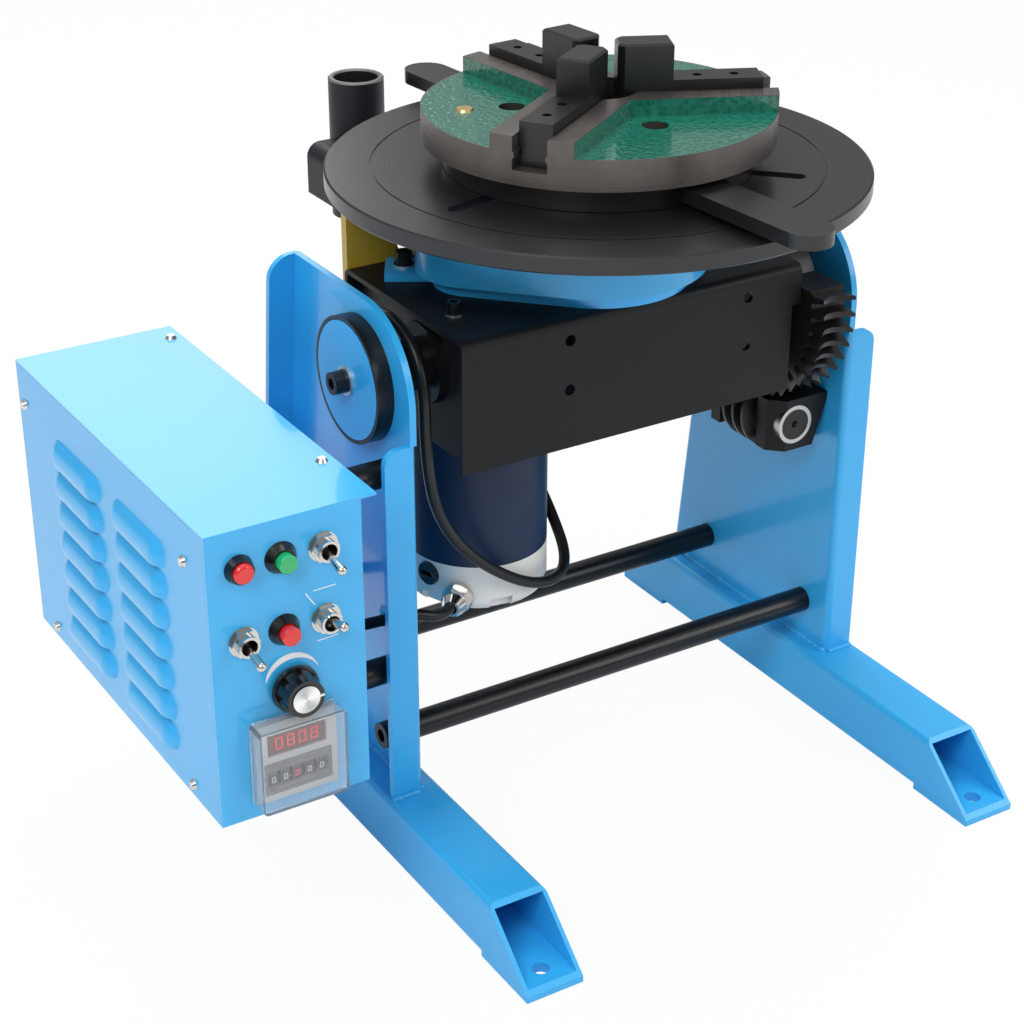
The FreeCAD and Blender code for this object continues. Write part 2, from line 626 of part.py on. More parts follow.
def handwheel(doc, d):
    """Rim, three spokes, hub and a grip pin, on the tail of the worm shaft."""
    rim = Part.makeTorus(d.handwheel_radius - d.handwheel_rim, d.handwheel_rim)
    hub = rod(d.handwheel_hub, 22, V(0, 0, -11))
    parts = [hub]
    for i in range(3):
        spoke = rod(4.5, d.handwheel_radius - d.handwheel_rim, V(), X_AXIS)
        parts.append(about_z(spoke, 90 + 120 * i))
    grip_at = V(0, d.handwheel_radius - d.handwheel_rim, 0)
    parts.append(rod(4, 14, grip_at))
    parts.append(Part.makeCone(7, 9, 38, grip_at + V(0, 0, 12)))
    wheel = rim.fuse(parts).cut(rod(d.worm_shaft_radius * 0.8, 40, V(0, 0, -20)))
    wheel.rotate(V(), X_AXIS, -90)
    wheel.translate(V(d.wheel_x, d.tilt_y + d.worm_tail - 11, worm_height(d)))
    solid(doc, "handwheel", wheel)


# ---------------------------------------------------------------- tilting channel

def channel(doc):
    """Bent-plate channel, open below, with rounded bends and a notch by the wheel."""
    own = body(doc, "channel")
    front, rear = "dims.tilt_y - dims.channel_front", "dims.tilt_y + dims.channel_rear"
    right = "dims.channel_length - dims.channel_left"
    end_view = sketch(own, "channel_end_view", "YZ_Plane", "-dims.channel_left")
    rectangle(end_view, (front, "dims.channel_bottom"), (rear, "dims.channel_top"))
    outer = pad(own, end_view, "channel_outer", "dims.channel_length")
    d = doc.dims
    rounded = fillet(own, outer, "channel_bends",
                     lambda p: near(p.z, d.channel_top) and (
                         near(p.y, d.tilt_y - d.channel_front)
                         or near(p.y, d.tilt_y + d.channel_rear)), "dims.channel_bend")
    inside = sketch(own, "channel_inside_view", "YZ_Plane", "-dims.channel_left")
    rectangle(inside, (front + " + dims.channel_wall", "dims.channel_bottom - 1"),
              (rear + " - dims.channel_wall", "dims.channel_top - dims.channel_wall"))
    pocket(own, inside, "channel_inside", side="Symmetric")
    notch = sketch(own, "channel_notch_view", "XZ_Plane")
    rectangle(notch, (right + " - dims.notch_width", "dims.channel_bottom - 1"),
              (right + " + 1", "dims.channel_bottom + dims.notch_height"))
    pocket(own, notch, "channel_notch", side="Symmetric")
    front_holes = sketch(own, "channel_hole_view", "XZ_Plane", "-dims.tilt_y + dims.channel_front"
                         " + 1")
    for x in ("-dims.hole_left", "dims.hole_right"):
        for z in ("dims.hole_low", "dims.hole_high"):
            circle(front_holes, (x, z), "dims.hole_radius")
    pocket(own, front_holes, "channel_front_holes", "dims.channel_wall + 2")
    top_holes = sketch(own, "channel_top_plan", "XY_Plane", "dims.channel_top + 1")
    circle(top_holes, ("0", "dims.tilt_y"), "dims.spindle_radius + 4")
    circle(top_holes, motor_place_text(), "dims.pinion_teeth * dims.gear_module / 2 + 4")
    pocket(own, top_holes, "channel_top_holes", "dims.channel_wall + 2")


def motor_place_text():
    """The pinion's axis: one gear centre distance from the spindle, as expressions."""
    reach = "(dims.gear_teeth + dims.pinion_teeth) * dims.gear_module / 2"
    return (f"{reach} * cos(dims.pinion_angle * 1deg)",
            f"dims.tilt_y + {reach} * sin(dims.pinion_angle * 1deg)")


def motor_place(d, level):
    reach = (d.gear_teeth + d.pinion_teeth) * d.gear_module / 2
    angle = math.radians(d.pinion_angle)
    return V(reach * math.cos(angle), d.tilt_y + reach * math.sin(angle), level)


def channel_ends(d):
    """Two plates welded inside the channel; they carry the journals."""
    plates = []
    inner_front = d.tilt_y - d.channel_front + d.channel_wall
    depth = d.channel_front + d.channel_rear - 2 * d.channel_wall
    height = d.channel_top - d.channel_wall - d.channel_bottom
    right = d.channel_length - d.channel_left
    for x in (-d.channel_left + d.end_inset, right - d.end_inset - d.end_thick):
        plate = Part.makeBox(d.end_thick, depth, height, V(x, inner_front, d.channel_bottom))
        if x < 0:
            corner = prism([V(x - 1, inner_front - 1, d.channel_bottom - 1),
                            V(x - 1, inner_front + 22, d.channel_bottom - 1),
                            V(x - 1, inner_front - 1, d.channel_bottom + 22)], X_AXIS * 20)
            plate = plate.cut(corner)
        else:
            plate = plate.cut(rod(d.journal_radius, 30, V(x - 1, d.tilt_y, d.tilt_z), X_AXIS))
        plates.append(plate)
    return plates


def case_outline(d, inset, level, lift):
    """The gear case's plan: a round over the spindle and a lobe over the pinion."""
    centre, lobe = V(0, d.tilt_y, level), motor_place(d, level)
    big, small = d.case_radius - inset, d.case_lobe - inset
    along = lobe - centre
    span = along.Length
    unit = along.normalize()
    side = V(-unit.y, unit.x, 0)
    lean = math.asin((big - small) / span)
    corners = []
    for sign in (1, -1):
        out = unit * math.sin(lean) + side * (sign * math.cos(lean))
        corners.append((centre + out * big, lobe + out * small))
    (big_a, small_a), (big_b, small_b) = corners
    edges = [
        Part.makeLine(big_a, small_a),
        Part.Arc(small_a, lobe + unit * small, small_b).toShape(),
        Part.makeLine(small_b, big_b),
        Part.Arc(big_b, centre - unit * big, big_a).toShape(),
    ]
    return Part.Face(Part.Wire(edges)).extrude(Z_AXIS * lift)


def gear_case(doc, d):
    """Welded tray on a neck and an eared base plate, with a flat lid under the table."""
    floor = d.case_bottom
    base = case_outline(d, d.neck_inset, d.channel_top, d.case_bottom - d.channel_top)
    screws = []
    for sign in (-1, 1):
        hole = V(sign * d.ear_x, d.tilt_y + d.ear_y, d.channel_top)
        inward = (V(0, d.tilt_y, d.channel_top) - hole).normalize()
        side = V(-inward.y, inward.x, 0) * d.ear_half
        end = hole - inward * 11
        ear = prism([end - side, end + side, end + side + inward * 70,
                     end - side + inward * 70], Z_AXIS * d.base_thick)
        base = base.fuse(ear.cut(rod(3.3, d.base_thick, hole)))
        screws.append(hole + Z_AXIS * d.base_thick)
    wall = case_outline(d, 0, floor, d.case_top - floor)
    wall = wall.cut(case_outline(d, d.case_wall, floor + d.case_floor, d.case_top - floor))
    shell = base.fuse(wall)
    shell = shell.cut(rod(d.spindle_radius + 4, 40, V(0, d.tilt_y, d.channel_top - 1)))
    pinion_hole = motor_place(d, d.channel_top - 1)
    shell = shell.cut(rod(d.pinion_teeth * d.gear_module / 2 + 4, 20, pinion_hole))
    solid(doc, "gear_case", shell.removeSplitter())
    lid = case_outline(d, d.case_wall + 0.05, d.case_top - 2, 2)
    lid = lid.cut(rod(d.hub_radius + 1, 10, V(0, d.tilt_y, d.case_top - 5)))
    solid(doc, "case_lid", lid)
    return screws


def case_screws(d, ear_seats):
    """Cap screws with washers: two M6 in the ears and an M5 in the channel's top."""
    top_seat = V(-102, d.tilt_y - 12, d.channel_top)
    screws = []
    for seat, radius in [(seat, 3) for seat in ear_seats] + [(top_seat, 2.5)]:
        washer = rod(radius * 2, 1.6, seat).cut(rod(radius, 1.6, seat))
        ring_seat = seat + Z_AXIS * 1.6
        spring = rod(radius * 1.7, 1.4, ring_seat).cut(rod(radius, 1.4, ring_seat))
        screw = socket_screw(radius, radius * 1.67, radius * 2, 3, seat + Z_AXIS * 3, Z_AXIS)
        screws.append(screw.fuse([washer, spring]))
    return screws


def spindle_set(doc, d):
    """Spindle, two ball bearings and ring gear; gives back the bearings' tube."""
    centre = V(0, d.tilt_y, 0)
    bottom, tube_top = d.tube_bottom, d.channel_top - d.channel_wall
    gear_base = d.gear_level - d.gear_width / 2
    table_seat = d.table_top - d.table_thick - d.hub_drop
    shaft = rod(d.spindle_radius, table_seat - bottom + 6, centre + V(0, 0, bottom - 6))
    collar = rod(d.spindle_radius + 7, 6, centre + V(0, 0, bottom - 8))
    collar = collar.fuse(rod(d.spindle_radius + 4, 3, centre + V(0, 0, gear_base - 3)))
    collar = collar.fuse(rod(d.hub_radius - 1, d.flange_thick,
                             centre + V(0, 0, table_seat - d.flange_thick)))
    spindle = shaft.fuse(collar)
    spindle = spindle.cut(rod(d.spindle_bore, 200, centre + V(0, 0, bottom - 20)))
    solid(doc, "spindle", spindle)
    tube = rod(d.bearing_radius + d.tube_wall, tube_top - bottom, centre + V(0, 0, bottom))
    tube = tube.cut(rod(d.bearing_radius - 3, tube_top - bottom, centre + V(0, 0, bottom)))
    bearings = []
    for level in (bottom, tube_top - d.bearing_width):
        seat = rod(d.bearing_radius, d.bearing_width, centre + V(0, 0, level))
        tube = tube.cut(seat)
        bore = d.spindle_radius + d.running_gap
        bearing = seat.cut(rod(bore, d.bearing_width, centre + V(0, 0, level)))
        for face in (level, level + d.bearing_width - 1):
            race = rod(d.bearing_radius - 3.5, 1, centre + V(0, 0, face))
            bearing = bearing.cut(race.cut(rod(bore + 3, 1, centre + V(0, 0, face))))
        bearings.append(bearing)
    solid(doc, "spindle_bearings", Part.makeCompound(bearings))
    gear = spur_gear(d.gear_module, int(d.gear_teeth), d.gear_width, d.spindle_radius,
                     V(0, 0, 0), phase=d.pinion_angle)
    for i in range(5):
        gear = gear.cut(about_z(rod(9, d.gear_width, V(34, 0, 0)), 72 * i))
    obj = solid(doc, "ring_gear", gear)
    bind(obj, y="dims.tilt_y", z="dims.gear_level - dims.gear_width / 2")
    return tube


def pinion(doc, d):
    """Motor shaft with its pinion, in mesh with the ring gear."""
    level = d.gear_level - d.gear_width / 2
    at = motor_place(d, level)
    half_tooth = 180 / d.pinion_teeth
    gear = spur_gear(d.gear_module, int(d.pinion_teeth), d.gear_width, 1, at,
                     phase=d.pinion_angle + 180 + half_tooth)
    shaft_bottom = d.channel_bottom + 24
    shaft = rod(d.motor_shaft, level + d.gear_width - shaft_bottom,
                V(at.x, at.y, shaft_bottom))
    solid(doc, "pinion", gear.fuse(shaft))


def motor(doc, d):
    """Gear motor hung from the channel's top: gearhead, field case and end cap."""
    at = motor_place(d, 0)
    top = d.channel_top - d.channel_wall
    head_bottom = d.channel_bottom - 2
    head = Part.makeBox(72, 72, top - head_bottom, V(at.x - 36, at.y - 36, head_bottom))
    head = head.makeFillet(8, [e for e in head.Edges if near(e.Length, top - head_bottom)])
    bore = rod(d.motor_shaft + d.running_gap, 80, V(at.x, at.y, d.channel_bottom + 24))
    solid(doc, "motor_gearhead", head.cut(bore))
    case = rod(d.motor_radius, head_bottom - d.motor_bottom, V(at.x, at.y, d.motor_bottom))
    case = case.fuse(rod(d.motor_radius + 1, 4, V(at.x, at.y, head_bottom - 4)))
    solid(doc, "motor_case", case)
    cap_height = d.motor_bottom - d.motor_cap_bottom
    cap = rod(d.motor_radius, cap_height, V(at.x, at.y, d.motor_cap_bottom))
    rim = [e for e in cap.Edges if near(e.BoundBox.ZMax, d.motor_cap_bottom)]
    cap = cap.makeFillet(6, rim)
    for angle in range(0, 360, 60):
        notch = Part.makeBox(12, 14, 9, V(d.motor_radius - 6, -7, d.motor_cap_bottom - 1))
        cap = cap.cut(about_z(notch, angle + 20).translated(V(at.x, at.y, 0)))
    cap = cap.cut(rod(8, 3, V(at.x, at.y, d.motor_cap_bottom)))
    plugs = []
    for angle in (198, 18):
        out = V(math.cos(math.radians(angle)), math.sin(math.radians(angle)), 0)
        face = V(at.x, at.y, d.motor_bottom - 9) + out * (d.motor_radius - 4)
        cap = cap.cut(rod(7.5, 20, face, out))
        plug = rod(7.2, 5.5, face, out).cut(
            Part.makeBox(3, 11, 3, V(-1.5, -5.5, -1.5)).translated(face + out * 5.5))
        plugs.append(plug)
    gland_out = V(math.cos(math.radians(225)), math.sin(math.radians(225)), 0)
    gland_face = V(at.x, at.y, 0) + gland_out * (d.motor_radius - 3)
    gland_at = V(gland_face.x, gland_face.y, d.gland_height)
    cap = cap.cut(rod(6.5, 10, gland_at, gland_out))
    solid(doc, "motor_cap", cap)
    solid(doc, "brush_plugs", Part.makeCompound(plugs))
    gland = rod(6.3, 8, gland_at, gland_out)
    gland = gland.fuse(rod(9.5, 3, gland_at + gland_out * 4, gland_out))
    gland = gland.fuse(hexagon(8.5, 7, gland_at + gland_out * 7, gland_out))
    gland = gland.fuse(Part.makeCone(7.5, 5, 6, gland_at + gland_out * 14, gland_out))
    gland = gland.cut(rod(d.cable_radius, 30, gland_at + gland_out * 4, gland_out))
    solid(doc, "motor_gland", gland)
    return gland_at + gland_out * 6, gland_out


def hexagon(radius, length, at, axis):
    turn = FreeCAD.Rotation(Z_AXIS, axis)
    points = [at + turn.multVec(V(radius * math.cos(math.radians(a)),
                                  radius * math.sin(math.radians(a)), 0))
              for a in range(0, 360, 60)]
    return prism(points, axis * length)


def torch_holder(doc, d):
    """Plate on the channel's back, an arm off it, and the open socket tube."""
    back = d.tilt_y + d.channel_rear
    plate = Part.makeBox(96, d.bracket_thick, d.arm_top - 2 - 262,
                         V(-d.channel_left + 2, back, 262))
    notch = rod(11, d.bracket_thick + 2, V(-d.channel_left + 46, back - 1, 326), Y_AXIS)
    plate = plate.cut(notch)
    plate = plate.cut(Part.makeBox(60, 20, 80, V(-d.channel_left + 46, back - 1, 315)))
    solid(doc, "torch_plate", plate)
    arm_front = back + d.bracket_thick
    tube_at = V(-d.torch_x, d.tilt_y + d.torch_y, d.torch_bottom)
    arm_back = tube_at.y - 4
    arm = Part.makeBox(d.arm_width, arm_back - arm_front, d.arm_top - d.arm_bottom,
                       V(-d.arm_left, arm_front, d.arm_bottom))
    edge = [e for e in arm.Edges if near(e.BoundBox.XMin, -d.arm_left)
            and near(e.BoundBox.XMax, -d.arm_left) and near(e.BoundBox.ZMin, d.arm_top)
            and near(e.BoundBox.ZMax, d.arm_top)]
    arm = arm.makeFillet(9, edge)
    tube = rod(d.torch_radius, d.torch_top - d.torch_bottom, tube_at)
    arm = arm.cut(tube)
    solid(doc, "torch_arm", arm)
    tube = tube.cut(rod(d.torch_bore, 200, tube_at))
    rim = [e for e in tube.Edges if near(e.BoundBox.ZMin, d.torch_top)
           and near(e.BoundBox.ZMax, d.torch_top)]
    solid(doc, "torch_tube", tube.makeChamfer(0.8, rim))
    seat = V(-d.channel_left + 24, arm_front, 285)
    screws = [socket_screw(4, 6.5, 8, 1.6, seat + V(x, 1.6, 0), Y_AXIS) for x in (0, 46)]
    return screws


# ---------------------------------------------------------------- turntable and chuck

def table(doc):
    """Turned table with three through slots, two ring grooves and a hub below."""
    own = body(doc, "table")
    section = sketch(own, "table_section", "XZ_Plane")
    low = "dims.table_top - dims.table_thick"
    polygon(section, [
        ("dims.table_bore", low + " - dims.hub_drop"),
        ("dims.hub_radius", low + " - dims.hub_drop"),
        ("dims.hub_radius", low), ("dims.table_radius - 1", low),
        ("dims.table_radius", low + " + 1"), ("dims.table_radius", "dims.table_top - 1"),
        ("dims.table_radius - 1", "dims.table_top"), ("dims.table_bore", "dims.table_top"),
    ])
    turned_disc = own.newObject("PartDesign::Revolution", "table_disc")
    turned_disc.Profile = section
    turned_disc.ReferenceAxis = (section, ["V_Axis"])
    grooves = sketch(own, "table_grooves_section", "XZ_Plane")
    for radius in ("128", "87.5"):
        rectangle(grooves, (radius, "dims.table_top - 0.6"), (radius + " + 1", "dims.table_top + 1"))
    ring_cut = own.newObject("PartDesign::Groove", "table_grooves")
    ring_cut.Profile = grooves
    ring_cut.ReferenceAxis = (grooves, ["V_Axis"])
    plan = sketch(own, "table_slot_plan", "XY_Plane", "dims.table_top + 1")
    rectangle(plan, ("dims.slot_inner", "-dims.slot_radius"),
              ("dims.slot_outer - dims.slot_radius", "dims.slot_radius"))
    slot = pocket(own, plan, "table_slot", "dims.table_thick + 2")
    end_plan = sketch(own, "table_slot_end_plan", "XY_Plane", "dims.table_top + 1")
    circle(end_plan, ("dims.slot_outer - dims.slot_radius", "0"), "dims.slot_radius")
    end = pocket(own, end_plan, "table_slot_end", "dims.table_thick + 2")
    pattern = own.newObject("PartDesign::PolarPattern", "table_slots")
    pattern.Originals = [slot, end]
    pattern.Axis = (plan, ["N_Axis"])
    pattern.Angle = 360
    own.Tip = pattern
    pattern.Occurrences = 3
    own.Placement = FreeCAD.Placement(V(), FreeCAD.Rotation(Z_AXIS, doc.dims.slot_angle))
    bind(own, y="dims.tilt_y")


def chuck_body(doc, d):
    """Cast chuck body: three raised ways with ribbed slots over recessed sectors."""
    centre = V(0, 0, 0)
    shape = rod(d.chuck_radius, d.chuck_top - d.chuck_bottom, centre + V(0, 0, d.chuck_bottom))
    ways = None
    for i in range(3):
        way = Part.makeBox(d.chuck_radius + 5, d.way_width, 40,
                           V(0, -d.way_width / 2, d.chuck_floor))
        way = about_z(way, d.jaw_angle + 120 * i)
        ways = way if ways is None else ways.fuse(way)
    sector = rod(d.chuck_radius + 1, 40, V(0, 0, d.chuck_floor)).cut(ways)
    shape = shape.cut(sector)
    for i in range(3):
        angle = d.jaw_angle + 120 * i
        half = d.jaw_slot / 2
        slot = Part.makeBox(d.chuck_radius + 5, d.jaw_slot, 40,
                            V(8, -half, d.jaw_bottom - d.free_gap))
        for sign in (-1, 1):
            rib = Part.makeBox(d.chuck_radius, d.jaw_rib, 3.4,
                               V(20, sign * half - d.jaw_rib / 2, d.chuck_floor - 3))
            slot = slot.cut(rib)
        shape = shape.cut(about_z(slot, angle))
        hole_at = about_z(Part.Vertex(d.chuck_hole_circle, 0, 0), angle + 60).Point
        shape = shape.cut(rod(d.chuck_hole_radius, 40, hole_at + V(0, 0, d.chuck_bottom - 1)))
        shape = shape.cut(rod(d.chuck_hole_sink, 20, hole_at + V(0, 0, d.chuck_floor - 9)))
    shape = shape.cut(rod(d.chuck_bore, 60, V(0, 0, d.chuck_bottom - 1)))
    hub = rod(d.scroll_inner - d.running_gap, d.chuck_bottom - d.table_top,
              V(0, 0, d.table_top))
    hub = hub.cut(rod(d.chuck_bore, 40, V(0, 0, d.table_top - 1)))
    for i in range(3):
        angle = d.jaw_angle + 120 * i
        hole_at = about_z(Part.Vertex(d.chuck_hole_circle - 14, 0, 0), angle + 60).Point
        hub = hub.cut(rod(3, 30, hole_at + V(0, 0, d.table_top)))
    obj = solid(doc, "chuck_body", shape.fuse(hub).removeSplitter())
    bind(obj, y="dims.tilt_y")
    button_at = about_z(Part.Vertex(76, 0, 0), d.jaw_angle + 63).Point
    button = Part.makeCone(d.plug_radius, d.plug_radius - 0.8, 1.2,
                           button_at + V(0, 0, d.chuck_floor))
    obj = solid(doc, "chuck_plug", button)
    bind(obj, y="dims.tilt_y")


def scroll(doc, d):
    """Scroll ring under the chuck body with its two opposed lever bars."""
    low = d.table_top + d.free_gap
    ring = rod(d.scroll_radius, d.chuck_bottom - d.free_gap - low, V(0, 0, low))
    for sign in (1, -1):
        lever = slot_prism(V(sign * 60, 0, d.scroll_bottom),
                           V(sign * (d.lever_reach - d.lever_width / 2), 0, d.scroll_bottom),
                           d.lever_width / 2, Z_AXIS * d.scroll_thick)
        ring = ring.fuse(about_z(lever, d.lever_angle))
    ring = ring.cut(rod(d.scroll_inner, 40, V(0, 0, low - 1)))
    obj = solid(doc, "scroll_ring", ring.removeSplitter())
    bind(obj, y="dims.tilt_y")


def jaw(doc, d, number):
    """Jaw with side grooves for the chuck's ribs, a low step and a tall block."""
    half = d.jaw_width / 2
    low = Part.makeBox(d.jaw_outer - d.jaw_inner, d.jaw_width, d.jaw_step - d.jaw_bottom,
                       V(d.jaw_inner, -half, d.jaw_bottom))
    tall = Part.makeBox(d.jaw_block - d.jaw_inner, d.jaw_width, d.jaw_top - d.jaw_step,
                        V(d.jaw_inner, -half, d.jaw_step))
    shape = low.fuse(tall).removeSplitter()
    for sign in (-1, 1):
        groove = Part.makeBox(d.jaw_outer, d.jaw_rib + 1.2, 4.2,
                              V(0, sign * (half + 0.1) - (d.jaw_rib + 1.2) / 2, d.chuck_floor - 3.4))
        shape = shape.cut(groove)
    reach = d.jaw_inner + d.jaw_nose
    nose = prism([V(d.jaw_inner - 1, -half + d.jaw_nose + 1, 0), V(reach + 1, -half - 1, 0),
                  V(d.jaw_inner - 1, -half - 1, 0)], Z_AXIS * 100)
    nose = nose.translated(V(0, 0, d.jaw_bottom - 10))
    shape = shape.cut(nose).cut(nose.mirror(V(), Y_AXIS))
    top_edges = [e for e in shape.Edges if near(e.BoundBox.ZMin, d.jaw_top)
                 and near(e.BoundBox.ZMax, d.jaw_top)]
    shape = shape.makeChamfer(1.2, top_edges)
    for radius in (d.jaw_hole_a, d.jaw_hole_b):
        shape = shape.cut(rod(d.jaw_hole_radius, 9, V(radius, 0, d.jaw_step - 9)))
    shape = about_z(shape, d.jaw_angle + 120 * (number - 1))
    obj = solid(doc, f"jaw_{number}", shape)
    bind(obj, y="dims.tilt_y")


# ---------------------------------------------------------------- control box

def control_box(doc, d):
    """Folded box, open on top and on its outer side, with its lid and louvred side."""
    size = V(d.box_outer - d.box_inner, d.box_front + d.box_rear, d.box_top - d.box_bottom)
    corner = V(-d.box_outer, -d.box_front, d.box_bottom)
    t = d.sheet_thick
    shell = Part.makeBox(size.x, size.y, size.z - t, corner)
    inside = Part.makeBox(size.x - t + 1, size.y - 2 * t, size.z + 10, corner + V(-1, t, t))
    shell = shell.cut(inside)
    for x, z, radius in panel_holes(d):
        shell = shell.cut(rod(radius, 3 * t, V(x, -d.box_front - t, z), Y_AXIS))
    window = d.timer_size / 2 - 1
    shell = shell.cut(Part.makeBox(2 * window, 3 * t, 2 * window, V(
        d.timer_x * -1 - window, -d.box_front - t, d.timer_z - window)))
    bar_y = d.tilt_y - d.bar_front
    for hole in (V(-d.box_inner - t - 1, d.tilt_y - d.low_cable_front, d.low_cable_height),
                 V(-d.box_inner - t - 1, d.tilt_y + d.rear_cable_offset, d.rear_cable_height)):
        shell = shell.cut(rod(d.cable_radius + 0.3, 2 * t + 2, hole, X_AXIS))
    obj = solid(doc, "box_body", shell)
    lid = Part.makeBox(d.box_outer - d.lid_inner, size.y, t,
                       V(-d.box_outer, -d.box_front, d.box_top - t))
    flap = Part.makeBox(t, size.y - 4 * t, d.box_lip,
                        V(-d.box_inner + 0.2, -d.box_front + 2 * t, d.box_top - t - d.box_lip))
    solid(doc, "box_lid", lid.fuse(flap))
    return obj, bar_y


def panel_holes(d):
    """Centre and radius of each round hole in the control panel."""
    left, middle, right = -d.col_left, -d.col_middle, -d.col_right
    top, mid = d.row_top, d.row_middle
    bushing = d.button_radius + 1.7
    return [(left, top, bushing), (middle, top, bushing), (middle, mid, bushing),
            (right, top, 6), (left, mid, 6), (right, mid, 6), (-d.knob_x, d.knob_z, 4)]


def louvre(d):
    """One pressed louvre at the origin, bulging to -X and open below, and its hollow."""
    radius, sink = d.louvre_radius, d.louvre_radius - d.louvre_rise
    half = d.louvre_length / 2 - math.sqrt(radius ** 2 - sink ** 2)

    def capsule(size):
        shape = rod(size, 2 * half, V(sink, -half, 0), Y_AXIS)
        ends = [Part.makeSphere(size, V(sink, sign * half, 0)) for sign in (-1, 1)]
        return shape.fuse(ends)

    length = 2 * d.louvre_length
    above = Part.makeBox(40 + d.sheet_thick, length, 60, V(-40, -length / 2, -d.louvre_mouth))
    hollow = capsule(radius - 1.2).common(above)
    return capsule(radius).common(above).cut(hollow), hollow


def box_side(doc, d):
    """The outer side panel with two columns of seven louvres."""
    t = d.sheet_thick
    panel = Part.makeBox(t, d.box_front + d.box_rear - 2 * t - 0.4,
                         d.box_top - d.box_bottom - 2 * t - 0.2,
                         V(-d.box_outer, -d.box_front + t + 0.2, d.box_bottom + t))
    hood, hollow = louvre(d)
    hoods, hollows = [], []
    for y in (d.louvre_front, d.louvre_rear):
        for i in range(7):
            at = V(-d.box_outer, y, d.louvre_low + i * d.louvre_pitch)
            hoods.append(hood.translated(at))
            hollows.append(hollow.translated(at))
    panel = panel.cut(Part.makeCompound(hollows)).fuse(hoods)
    solid(doc, "box_side", panel)


def box_screws(doc, d):
    """Pan-head screws: two in the lid and four in the side panel."""
    screws = []
    for y in (-42.5, 149.5):
        screws.append(pan_screw(V(-d.lid_inner - 7, y, d.box_top), Z_AXIS))
    low, high = d.box_bottom + 7, d.box_top - 25
    for y, z in ((-62, high), (158, high), (-54, low), (141, low)):
        screws.append(pan_screw(V(-d.box_outer, y, z), -X_AXIS))
    solid(doc, "box_screws", Part.makeCompound(screws))


def pan_screw(at, axis):
    return Part.makeCone(3.4, 2.2, 2, at, axis)


def panel_parts(doc, d):
    """Lamp, buttons, toggles, speed knob and timer on the control panel."""
    face = -d.box_front
    left, middle, right = -d.col_left, -d.col_middle, -d.col_right
    lamp, green, red = (left, d.row_top), (middle, d.row_top), (middle, d.row_middle)
    bezels = [bezel(d, V(lamp[0], face, lamp[1]), d.lamp_bezel_radius),
              bezel(d, V(green[0], face, green[1]), d.bezel_radius),
              bezel(d, V(red[0], face, red[1]), d.bezel_radius)]
    lens_top = face - d.bezel_height - 3
    lens = rod(d.button_radius + 0.35, face + 10 - lens_top,
               V(lamp[0], face + 10, lamp[1]), -Y_AXIS)
    lens = lens.makeFillet(2, [e for e in lens.Edges if near(e.BoundBox.YMax, lens_top)])
    solid(doc, "lamp_lens", lens)
    for name, (x, z) in (("green_button", green), ("red_button", red)):
        cap_top = face - d.bezel_height - 5
        cap = rod(d.button_radius, face + 10 - cap_top, V(x, face + 10, z), -Y_AXIS)
        cap = cap.makeFillet(1, [e for e in cap.Edges if near(e.BoundBox.YMax, cap_top)])
        solid(doc, name, cap)
    nuts = []
    for name, x, z in (("power_lever", right, d.row_top), ("mode_lever", left, d.row_middle),
                       ("direction_lever", right, d.row_middle)):
        at = V(x, face, z)
        nut = rod(5.9, 11, at + Y_AXIS * 3, -Y_AXIS).fuse(rod(8.4, 1, at, -Y_AXIS))
        nut = nut.fuse(hexagon(8, 3, at - Y_AXIS, -Y_AXIS))
        nut = nut.fuse(Part.makeBox(13, 22, 15, V(x - 6.5, face + d.sheet_thick, z - 7.5)))
        pocket_cone = Part.makeCone(2.8, 4.6, 11, at + Y_AXIS * 2.2, -Y_AXIS)
        nuts.append(nut.cut(pocket_cone))
        tilt = {"power_lever": -12, "mode_lever": -12, "direction_lever": 12}[name]
        lever = Part.makeCone(1.4, 2.6, 21, V(), -Y_AXIS)
        pin = rod(1.6, 4.4, V(-2.2, 0, 0), X_AXIS)
        lever = lever.fuse([pin, Part.makeSphere(2.7, V(0, -21, 0), -Y_AXIS)])
        lever.rotate(V(), X_AXIS, -tilt)
        solid(doc, name, lever.translated(at))
    nuts.append(speed_knob(doc, d, face))
    solid(doc, "panel_nuts", Part.makeCompound(bezels + nuts))
    timer(doc, d, face)


def bezel(d, at, radius):
    """A tapered ring on the panel's face, with its bushing and nut behind the sheet."""
    ring = Part.makeCone(radius, d.button_radius + 1.4, d.bezel_height, at, -Y_AXIS)
    ring = ring.fuse([rod(d.button_radius + 1.4, 16, at, Y_AXIS),
                      rod(radius, 3, at + Y_AXIS * d.sheet_thick, Y_AXIS)])
    return ring.cut(rod(d.button_radius + 0.4, 14 + d.bezel_height, at + Y_AXIS * 14, -Y_AXIS))


